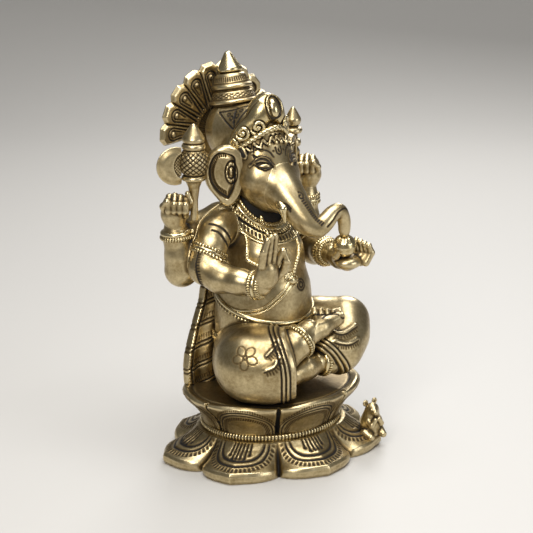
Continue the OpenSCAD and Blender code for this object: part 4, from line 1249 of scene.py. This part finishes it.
def make_tiers():
    """The two tiers and the finial, turned about the crown's leaning axis."""
    top = CROWN_AT + CROWN_UP * 21
    axes = frame_of(CROWN_UP)
    for name, (outline, relief, slot) in TIERS.items():
        clay = Clay(top - [21, 27, 27], top + [21, 27, 27]).add(turned(outline, CROWN_AT, CROWN_UP))
        if relief:
            _, x, y, z = clay.window()
            u, v, w = local(x, y, z, CROWN_AT, axes)
            raised = relief(np.arctan2(v, u), w)
            clay.relief(lambda x, y, z: raised)
        piece(name, clay, slot)


HALO_AT = (-4, 61, 244)
FEATHERS = 10
FEATHER_STEP = math.radians(19.2)
FEATHER_TIP = 54.2
HUB_R = 24


def feather_relief(a, b):
    """Height, distance inside the edge and patina of a feather: a bevel round a drop-shaped loop."""
    wide = np.interp(b, [18, 46, 60], [3.5, 8.6, 9])
    chamfer = (FEATHER_TIP + 4.6 - np.abs(a) - b) / 1.414
    edge = soft_min(soft_min(wide - np.abs(a), FEATHER_TIP - b, 0.3), chamfer, 0.3)
    face = 3.4 * smooth_step(edge, -0.2, 2.4)
    loop = np.where(b > 43, np.hypot(a, b - 43) - 4.9, np.abs(a) - np.interp(b, [22, 43], [0.7, 4.9]))
    outer = bump(loop, 0, 0.62)
    inner = bump(loop, -2.1, 0.5) * smooth_step(b, 33, 36)
    face = face - 1.5 * outer - 0.8 * inner - 0.5 * smooth_step(-loop, 0, 1)
    ball_top = 1 - np.hypot(a, b - 44) / 2.5
    face = face + 1.9 * np.sqrt(np.clip(ball_top, 0, 1))
    return face, edge, np.maximum(outer, 0.8 * inner)


def make_halo():
    """The fan of feathers behind the crown."""
    clay = Clay([-62, 58, 222], [54, 68, 302])
    cut, x, y, z = clay.window()
    px, pz = np.broadcast_arrays((x - HALO_AT[0])[:, 0, :], (z - HALO_AT[2])[:, 0, :])
    far = np.hypot(px, pz)
    turn = np.arctan2(px, pz)
    half = (FEATHERS - 1) / 2
    nearest = np.clip(np.round(turn / FEATHER_STEP + half), 0, FEATHERS - 1) - half
    a = far * np.sin(turn - nearest * FEATHER_STEP)
    b = far * np.cos(turn - nearest * FEATHER_STEP)
    face, edge, ink = feather_relief(a, b)
    hub = HUB_R - far
    hub_face = 2.6 * smooth_step(hub, -0.2, 1.4) + 0.5 * bump(hub, 3.4, 0.8)
    outline = np.maximum(edge, hub)
    front = np.maximum(face, hub_face)
    middle = HALO_AT[1] + 2.5
    thick = np.where(y < middle, front[:, None, :], 0.62 * np.minimum(front, 3.4)[:, None, :])
    d = (np.abs(y - middle) - 0.2 - thick) * 0.85
    clay.d = np.float32(np.maximum(d, -outline[:, None, :] * 0.9))
    ink = np.maximum(ink, bump(edge, 0, 0.7) * (far < 50)) * (hub < 0)
    clay.mark_patina_and_shade(cut, ink[:, None, :] * (y < middle))
    piece("feather_halo", clay)


MACE_AT = np.array([-58, 21, 203])
STAFF_AT = np.array([50.2, 35.5, 202])


def make_mace():
    """The mace in the rear right hand, and the axe blade on it."""
    outline = [
        (0, -14), (2, -14), (3, -13), (3, 2), (4.4, 12), (6.4, 17), (8.8, 17.8), (9.4, 19.4), (8.8, 20.8),
        (7.4, 21.8), (9.4, 23.6), (11, 27), (11.5, 31.5), (10.7, 36), (8.6, 39.6), (7.4, 41),
        (8.6, 41.8), (9.1, 43.4), (8.6, 45), (7.2, 46), (8.4, 47.4), (8.6, 49.4), (7, 52.4), (3.4, 57.6),
        (1.4, 60.2), (0, 61),
    ]
    clay = Clay(MACE_AT - [14, 14, 16], MACE_AT + [14, 14, 63])
    clay.add(turned(outline, MACE_AT))

    def hatching(x, y, z):
        a = np.arctan2(y - MACE_AT[1], x - MACE_AT[0])
        w = z - MACE_AT[2]
        return -0.7 * band(w, 23, 23.8, 39.2, 40) * np.minimum(crossed(a, w - 31, 7, 0.85), 1)

    clay.relief(hatching)
    piece("mace", clay)
    turn = math.radians(157)
    way = np.array([math.cos(turn), math.sin(turn), 0])
    at = MACE_AT + [0, 0, 29]
    blade = Clay(at - 32, at + 32)
    _, x, y, z = blade.window()
    u, v, w = local(x, y, z, at, [way, UP, (-way[1], way[0], 0)])
    rim = np.hypot(u - 14, v) - 14.6
    inner = np.hypot(u - 5, v) - 10.5
    web = np.maximum(np.abs(v) - (1.5 + 0.62 * np.clip(u, 0, 20)), u - 16)
    crescent = np.maximum(np.maximum(rim, -inner), 8 - u)
    ticks = wave(np.arctan2(v, u - 5), 0.13) * bump(inner, 1.2, 0.9)
    crescent = np.maximum(crescent, np.abs(w) - (1.9 * smooth_step(-rim, -0.5, 6) + 0.35 + 0.35 * ticks))
    web = np.maximum(np.maximum(web, rim), np.abs(w) - (1.0 + 0.35 * (np.cos(u * 2.6) * np.cos(v * 2.6))))
    blade.d = np.float32(np.maximum(np.minimum(crescent, web), 9.5 - np.hypot(u, w)))
    piece("axe_blade", blade)


def make_staff():
    """The staff in the rear left hand."""
    outline = [
        (0, -12), (2, -12), (2.6, -11), (2.6, 4), (4.2, 10), (5.2, 17), (5.4, 23), (4, 25.6), (6, 27),
        (6.6, 29.4), (6, 31.6), (3.7, 33), (3.6, 35.8), (6.8, 37.2), (7.6, 39.2), (6.8, 41), (3.9, 42.4),
        (5.6, 44), (6.5, 46.6), (6.3, 48.6), (3.4, 54), (1.4, 57.2), (0, 58),
    ]
    clay = Clay(STAFF_AT - [10, 10, 14], STAFF_AT + [10, 10, 60])

    def relief(a, w):
        return 0.3 * wave(a, ROUND / 16) * band(w, 8, 12, 22, 25)

    clay.add(turned(outline, STAFF_AT, UP, relief))
    piece("goad_staff", clay)


def make_modak():
    """The pleated sweet in the front left hand."""
    at = np.array(MODAK, float)
    outline = [
        (0, -8.4), (4.8, -7.8), (8, -5), (9.3, -0.6), (8.6, 3.2), (6, 6.4), (3, 8.4), (1, 9.6), (0, 10),
    ]
    clay = Clay(at - 12, at + 13)

    def relief(a, w):
        return 0.3 * (wave(a, ROUND / 12) - 0.5) * band(w, 1, 5, 8, 9.6)

    clay.add(turned(outline, at, UP, relief))
    piece("modak", clay, BRIGHT)


def make_mouse():
    """The mouse that crouches on the front left petal with its paws raised."""
    at = np.array([60, -50.5, 7.5])
    clay = Clay(at - [18, 18, 2], at + [18, 18, 40])

    def put(*rows):
        return [[*(at + np.array(r[:3])), r[3]] for r in rows]

    clay.limb(put([0, 2, 6, 8], [-0.5, 0, 14, 7.2], [-1, -1, 20, 6]), 4)
    clay.limb(put([-1, -2, 24, 5.4], [-3.4, -8, 23.4, 2.1]), 2.5)
    for side in (-1, 1):
        clay.add(egg(at + [side * 4.6 - 1, 1, 29.2], (2.6, 1.3, 2.8)), 0.6)
        clay.carve(egg(at + [side * 4.6 - 1.2, -0.3, 29.2], (1.6, 0.9, 1.8)), 0.4)
        arm = [side * 5.4 - 0.5, -3, 15.4, 2.6], [side * 5 - 1.5, -7.6, 13, 2], [side * 2 - 2, -9, 17.6, 1.8]
        clay.limb(put(*arm), 1)
        clay.limb(put([side * 6.4, -1, 5, 5], [side * 6.4, -7, 3, 2.8]), 1.5)
        clay.add(ball(at + [side * 2.9 - 2.2, -5.6, 25.6], 1.0), 0.2)
        haunch = smooth_line([(side * 7.4, -3, 9), (side * 8.6, 1, 7), (side * 8, 4, 3)], 0.5)
        clay.groove(at + haunch, 0.5, 0.45)
    clay.limb(put([1, 8, 3, 3], [8, 9, 2, 2], [11, 4, 2, 1.5]), 1)
    clay.keep(lambda x, y, z: 7.2 - z)
    piece("mouse", clay)


def make_shawl():
    """The shawl's end that hangs down behind the right hip to the seat."""
    clay = Clay([-62, 22, SEAT_TOP - 1], [6, 56, 196], MEDIUM)
    cut, x, y, z = clay.window()
    levels = [54, 66, 78, 97, 117, 145, 170, 190]
    left = np.interp(z, levels, [-57, -57, -54.5, -45, -35, -30, -27, -26])
    right = np.interp(z, levels, [-19, -21, -22, -18, -9, -5, -2, -4])
    back = np.interp(z, levels, [36, 37, 38, 42, 45, 46, 46, 41])
    half = (right - left) / 2
    u = x - (left + right) / 2
    middle = back - (u + half) * 6 / 30
    step = np.mod(z - 0.35 * u, 15.5)
    lines = bump(step, 7, 0.6) + bump(step, 10, 0.6)
    border = half - np.abs(u)
    hatching = 0.4 * wave(u + z * 0.15, 1.8) * smooth_step(step, 11.5, 12.2) * smooth_step(border, 4, 5)
    beads = 0.7 * bump(border, 1.8, 1.1) * wave(z, 2.4)
    relief = 0.8 * np.cos(u * ROUND / 15) - 0.9 * lines - hatching
    relief = relief + beads - 0.8 * bump(border, 4.2, 0.6)
    d = (np.abs(y - middle) - 3.0 - relief) * 0.8
    d = -soft_min(-d, border, 1.5)
    clay.d = np.float32(np.maximum(d, z - 190 - 3))
    clay.mark_patina_and_shade(cut, 0.8 * np.maximum(np.maximum(lines, 1.2 * hatching), bump(border, 4.2, 0.7)))
    piece("back_shawl", stand(clay))


# ---- patina and painted shade: how deep in a hollow each point lies, and how near other pieces; wear: how proud of its surroundings ----

ROOM_BOX = (-100, -86, -6), (100, 86, 316)
ROOM_CELL = 1.2
CLOSE, WIDE = 3.0, 9.0  # how far the two maps look for brass round a point
OPEN_SHARE = 0.27  # the share of brass round a point just outside a flat face


class Room:
    """A coarse map of where there is brass, to tell hollows from open faces, for patina and for painted
    shade where pieces crowd together.
    """

    def __init__(self, low, high):
        self.low = np.array(low, float)
        self.size = np.ceil((np.array(high) - low) / ROOM_CELL).astype(int) + 1
        self.count = np.zeros(self.size.prod(), np.float32)

    def fill(self, clay):
        """Marks the inside of a block of clay."""
        i = np.argwhere(clay.d < 0)
        j = np.round(((i + clay.first) * clay.cell - self.low) / ROOM_CELL).astype(int)
        j = np.clip(j, 0, self.size - 1)
        flat = (j[:, 0] * self.size[1] + j[:, 1]) * self.size[2] + j[:, 2]
        added = np.bincount(flat, minlength=self.count.size) * (clay.cell / ROOM_CELL) ** 3
        self.count = np.maximum(self.count, added)

    def blurred(self, reach):
        """The share of brass within a reach, in mm."""
        out = np.clip(self.count, 0, 1).reshape(self.size)
        n = max(1, int(round(reach / ROOM_CELL / 2)))
        for _ in range(3):
            for axis in range(3):
                pad = [(0, 0)] * 3
                pad[axis] = (n + 1, n)
                total = np.cumsum(np.pad(out, pad, mode="edge"), axis=axis, dtype=np.float64)
                total = np.moveaxis(total, axis, 0)
                out = np.moveaxis((total[2 * n + 1 :] - total[: -2 * n - 1]) / (2 * n + 1), 0, axis)
        return np.float32(out)

    def read(self, field, points):
        """A field's value at any points."""
        return value_at(field, np.clip((points - self.low) / ROOM_CELL, 0, self.size - 1.001))


def normals_of(points, quads):
    """Outward directions at the vertices."""
    across_a = points[quads[:, 2]] - points[quads[:, 0]]
    across_b = points[quads[:, 3]] - points[quads[:, 1]]
    face = np.cross(across_a, across_b)
    out = np.zeros_like(points)
    for column in range(4):
        for axis in range(3):
            out[:, axis] += np.bincount(quads[:, column], face[:, axis], len(points))
    return out / np.maximum(np.linalg.norm(out, axis=1, keepdims=True), 1e-12)


def relaxed(points, quads, rounds):
    """The points after some rounds of averaging with their neighbours."""
    a = quads.ravel()
    b = np.roll(quads, 1, axis=1).ravel()
    ends = np.concatenate([a, b])
    others = np.concatenate([b, a])
    share = np.maximum(np.bincount(ends, minlength=len(points)), 1)
    p = points.copy()
    for _ in range(rounds):
        p = np.stack([np.bincount(ends, p[others, k], len(p)) / share for k in range(3)], axis=1)
    return p


def shade_patina_and_wear_of(points, quads, room, fields):
    """Patina and painted shade values (in hollows, and where other pieces crowd round) and edge wear values,
    from 0 to 1 at each vertex.
    """
    n = normals_of(points, quads)
    fine = ((relaxed(points, quads, 3) - points) * n).sum(axis=1)
    wide = ((relaxed(points, quads, 14) - points) * n).sum(axis=1)
    close = room.read(fields[0], points + n * 1.2) - OPEN_SHARE
    far = room.read(fields[1], points + n * 3.0) - OPEN_SHARE
    # darker in sunk places (patina) and where other brass crowds round a point (painted shade)
    patina_and_shade = 2.6 * fine + wide + 1.2 * close + far
    edge = -2.4 * fine - wide - 0.8 * close
    return np.clip(patina_and_shade, 0, 1), np.clip(edge, 0, 1)


# ---- materials ----

CLOUDS, GRAIN, PITS, TURNING = 55.0, 420.0, 1500.0, 900.0  # noise scales, per metre


def node(tree, kind, **inputs):
    """A new node with its inputs set or linked."""
    made_node = tree.nodes.new(kind)
    for key, value in inputs.items():
        socket = made_node.inputs[key.replace("_", " ")]
        if isinstance(value, bpy.types.NodeSocket):
            tree.links.new(value, socket)
        else:
            socket.default_value = value
    return made_node


def maths(tree, a, b, operation="ADD", clamp=False):
    """A math node's output."""
    made_node = tree.nodes.new("ShaderNodeMath")
    made_node.operation = operation
    made_node.use_clamp = clamp
    for socket, value in zip(made_node.inputs, (a, b)):
        if isinstance(value, bpy.types.NodeSocket):
            tree.links.new(value, socket)
        else:
            socket.default_value = value
    return made_node.outputs[0]


def attribute(tree, name):
    """A named value stored on the mesh."""
    made_node = tree.nodes.new("ShaderNodeAttribute")
    made_node.attribute_name = name
    return made_node.outputs["Fac"]


def noise(tree, scale, detail=4.0, rough=0.55):
    """Noise from object coordinates, in metres."""
    where = tree.nodes.new("ShaderNodeTexCoord").outputs["Object"]
    made_node = node(tree, "ShaderNodeTexNoise", Vector=where, Scale=scale, Detail=detail, Roughness=rough)
    return made_node.outputs["Fac"]


def ramp(tree, value, stops):
    """A colour ramp's output."""
    made_node = node(tree, "ShaderNodeValToRGB", Fac=value)
    bar = made_node.color_ramp
    while len(bar.elements) < len(stops):
        bar.elements.new(0.5)
    for element, (place, color) in zip(bar.elements, stops):
        element.position = place
        element.color = (*color, 1)
    return made_node.outputs["Color"]


def new_material(name):
    """A material with no nodes yet, and its tree."""
    material = bpy.data.materials.new(name)
    material.use_nodes = True
    material.node_tree.nodes.clear()
    return material, material.node_tree


def brass(name, colours, rough, patina_and_shade_weight):
    """Cast brass: bare metal on the high places, brown-black patina and painted shade in the hollows and
    between pieces.

    The colours run from the deepest patina and painted shade to the best rubbed metal.
    """
    material, tree = new_material(name)
    cloud = noise(tree, CLOUDS, 5.0, 0.6)
    grain = noise(tree, GRAIN, 3.0, 0.6)
    patch = maths(tree, maths(tree, cloud, 0.5, "SUBTRACT"), 0.42, "MULTIPLY")
    speck = maths(tree, maths(tree, grain, 0.5, "SUBTRACT"), 0.3, "MULTIPLY")
    # patina and painted shade from the stored value, with random tone and specks
    patina_and_shade_level = maths(tree, maths(tree, attribute(tree, "patina_and_shade"), patina_and_shade_weight, "MULTIPLY"), patch)
    patina_and_shade_level = maths(tree, patina_and_shade_level, speck)
    patina_and_shade_level = maths(tree, patina_and_shade_level, maths(tree, attribute(tree, "edge"), 0.25, "MULTIPLY"), "SUBTRACT")
    patina_and_shade_level = maths(tree, patina_and_shade_level, 0.12, clamp=True)
    dark, brown, mid, light, pale = colours
    colour = ramp(tree, patina_and_shade_level, [(0.0, pale), (0.16, light), (0.38, mid), (0.66, brown), (0.95, dark)])
    metal = ramp(tree, patina_and_shade_level, [(0.35, (1, 1, 1)), (0.9, (0.35, 0.35, 0.35))])
    dull = maths(tree, maths(tree, patina_and_shade_level, 0.42, "MULTIPLY"), rough)
    dull = maths(tree, dull, maths(tree, speck, 0.25, "MULTIPLY"), clamp=True)
    pits = maths(tree, noise(tree, PITS, 2.0), 0.3, "MULTIPLY")
    height = maths(tree, maths(tree, grain, 0.7, "MULTIPLY"), pits)
    relief = node(tree, "ShaderNodeBump", Height=height, Strength=0.22, Distance=0.0002)
    shader = node(tree, "ShaderNodeBsdfPrincipled", Base_Color=colour, Metallic=metal, Roughness=dull,
                  Normal=relief.outputs["Normal"])
    node(tree, "ShaderNodeOutputMaterial", Surface=shader.outputs["BSDF"])
    return material


ANTIQUE_COLOURS = (
    (0.006, 0.0045, 0.003), (0.060, 0.040, 0.015), (0.185, 0.13, 0.058), (0.335, 0.255, 0.127),
    (0.58, 0.475, 0.275),
)
BRIGHT_COLOURS = (
    (0.007, 0.005, 0.003), (0.085, 0.058, 0.022), (0.28, 0.2, 0.082), (0.46, 0.355, 0.168),
    (0.7, 0.59, 0.35),
)


def steel():
    """Plain turned steel for the hidden bolts."""
    material, tree = new_material("steel")
    grain = noise(tree, TURNING, 3.0)
    colour = ramp(tree, grain, [(0.3, (0.36, 0.36, 0.35)), (0.7, (0.62, 0.62, 0.6))])
    dull = maths(tree, maths(tree, grain, 0.2, "MULTIPLY"), 0.25)
    relief = node(tree, "ShaderNodeBump", Height=grain, Strength=0.15, Distance=0.0001)
    shader = node(tree, "ShaderNodeBsdfPrincipled", Base_Color=colour, Metallic=1.0, Roughness=dull,
                  Normal=relief.outputs["Normal"])
    node(tree, "ShaderNodeOutputMaterial", Surface=shader.outputs["BSDF"])
    return material


def plain(name, colour, rough):
    """A plain matt stage material."""
    material = bpy.data.materials.new(name)
    material.use_nodes = True
    shader = material.node_tree.nodes["Principled BSDF"]
    shader.inputs["Base Color"].default_value = (*colour, 1)
    shader.inputs["Roughness"].default_value = rough
    return material


# ---- the scene ----

CAMERA_TURN = math.radians(-39)
CAMERA_RISE = math.radians(16.6)
CAMERA_FAR = 1500.0  # from the point it looks at
CAMERA_LOOK = np.array([-3.11, 2.52, 147.0])
CAMERA_LENS = 131.9
SENSOR = 36
LIGHT_AIM = Vector((0, 0, 0.15))
# Each light's name, place in metres, size, power and colour.
LIGHTS = [
    ("key", (-1.0, -0.75, 1.05), 0.55, 13, (1, 0.97, 0.92)),
    ("fill", (0.55, -1.4, 0.55), 0.7, 6, (0.95, 0.97, 1)),
    ("top", (0.0, -0.1, 1.5), 1.2, 26, (1, 1, 1)),
    ("rim", (0.9, 0.7, 0.8), 0.5, 7, (1, 1, 1)),
]


def build_piece(name, clay, material, room, fields):
    """Makes one piece's object from its clay."""
    points, quads = clay.mesh()
    patina_and_shade, edge = shade_patina_and_wear_of(points, quads, room, fields)
    # patina and painted shade marked on the clay join the computed values, and take the edge wear away there
    ink = clay.sample(points, clay.ink)
    patina_and_shade, edge = np.maximum(patina_and_shade, ink), edge * (1 - ink)
    mesh = bpy.data.meshes.new(name)
    mesh.from_pydata((points + MIDDLE) * MM, [], quads)
    for key, values in (("patina_and_shade", patina_and_shade), ("edge", edge)):
        mesh.attributes.new(key, "FLOAT", "POINT").data.foreach_set("value", np.float32(values))
    mesh.polygons.foreach_set("use_smooth", np.ones(len(quads), bool))
    mesh.update()
    mesh.materials.append(material)
    obj = bpy.data.objects.new(name + "_visual", mesh)
    bpy.context.scene.collection.objects.link(obj)
    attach(obj, "root")
    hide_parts(name)


def build_figure():
    """Shapes every piece, then turns them all into objects."""
    make_base()
    make_collar()
    make_seat()
    make_torso()
    make_legs()
    make_feet()
    make_bangles()
    make_arms()
    make_front_hands()
    make_rear_hands()
    make_shawl()
    make_head()
    make_trunk()
    make_tusks()
    make_ear(False)
    make_ear(True)
    make_crown_bowl()
    make_diadem()
    make_crown_band()
    make_tiers()
    make_halo()
    make_mace()
    make_staff()
    make_modak()
    make_mouse()
    room = Room(*ROOM_BOX)
    for _, clay, _ in made:
        room.fill(clay)
    fields = room.blurred(CLOSE), room.blurred(WIDE)
    materials = {
        ANTIQUE: brass(ANTIQUE, ANTIQUE_COLOURS, 0.31, 1.0),
        BRIGHT: brass(BRIGHT, BRIGHT_COLOURS, 0.22, 0.9),
    }
    for name, clay, slot in made:
        build_piece(name, clay, materials[slot], room, fields)
    bolts = steel()
    dress(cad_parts["seat_bolts"], bolts)
    dress(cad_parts["figure_bolts"], bolts)
    dress(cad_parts["halo_strut"], materials[ANTIQUE])


def dress(obj, material):
    """Gives a CAD part that isn't replaced its material."""
    obj.data.materials.clear()
    obj.data.materials.append(material)


def add_floor():
    """A plain pale floor that curves up far behind the idol."""
    size, rise, back = 4.0, 1.6, 1.1
    points, faces = [], []
    steps = 24
    profile = [(-size, 0.0), (back, 0.0)]
    for k in range(1, steps + 1):
        a = math.pi / 2 * k / steps
        profile.append((back + rise * math.sin(a), rise * (1 - math.cos(a))))
    profile.append((back + rise, size))
    way = Vector((-math.sin(CAMERA_TURN), math.cos(CAMERA_TURN), 0))
    side = Vector((way.y, -way.x, 0))
    for along, high in profile:
        for s in (-size, size):
            points.append(way * along + side * s + Vector((0, 0, high)))
    for k in range(len(profile) - 1):
        faces.append((2 * k, 2 * k + 1, 2 * k + 3, 2 * k + 2))
    mesh = bpy.data.meshes.new("floor")
    mesh.from_pydata(points, [], faces)
    mesh.polygons.foreach_set("use_smooth", np.ones(len(faces), bool))
    mesh.materials.append(plain("pale_floor", (0.5, 0.485, 0.46), 0.6))
    obj = bpy.data.objects.new("floor", mesh)
    bpy.context.scene.collection.objects.link(obj)


def add_lights():
    """Soft studio light from four square lights, in a dim room."""
    for name, at, size, power, colour in LIGHTS:
        data = bpy.data.lights.new(name, "AREA")
        data.size = size
        data.energy = power
        data.color = colour
        obj = bpy.data.objects.new(name, data)
        obj.location = at
        obj.rotation_euler = (LIGHT_AIM - Vector(at)).to_track_quat("-Z", "Y").to_euler()
        bpy.context.scene.collection.objects.link(obj)
    world = bpy.data.worlds.new("room")
    bpy.context.scene.world = world
    world.use_nodes = True
    ground = world.node_tree.nodes["Background"]
    ground.inputs["Color"].default_value = (0.75, 0.74, 0.72, 1)
    ground.inputs["Strength"].default_value = 0.2


def add_camera():
    """The camera, at the photograph's angle."""
    data = bpy.data.cameras.new("camera")
    data.lens = CAMERA_LENS
    data.sensor_width = SENSOR
    data.clip_end = 50
    obj = bpy.data.objects.new("camera", data)
    level = math.cos(CAMERA_RISE)
    back = Vector((math.sin(CAMERA_TURN) * level, -math.cos(CAMERA_TURN) * level, math.sin(CAMERA_RISE)))
    look = Vector((CAMERA_LOOK + MIDDLE) * MM)
    obj.location = look + back * CAMERA_FAR * MM
    obj.rotation_euler = back.to_track_quat("Z", "Y").to_euler()
    bpy.context.scene.collection.objects.link(obj)
    bpy.context.scene.camera = obj


build_figure()
add_floor()
add_lights()
add_camera()
bpy.context.scene.view_settings.view_transform = "Standard"
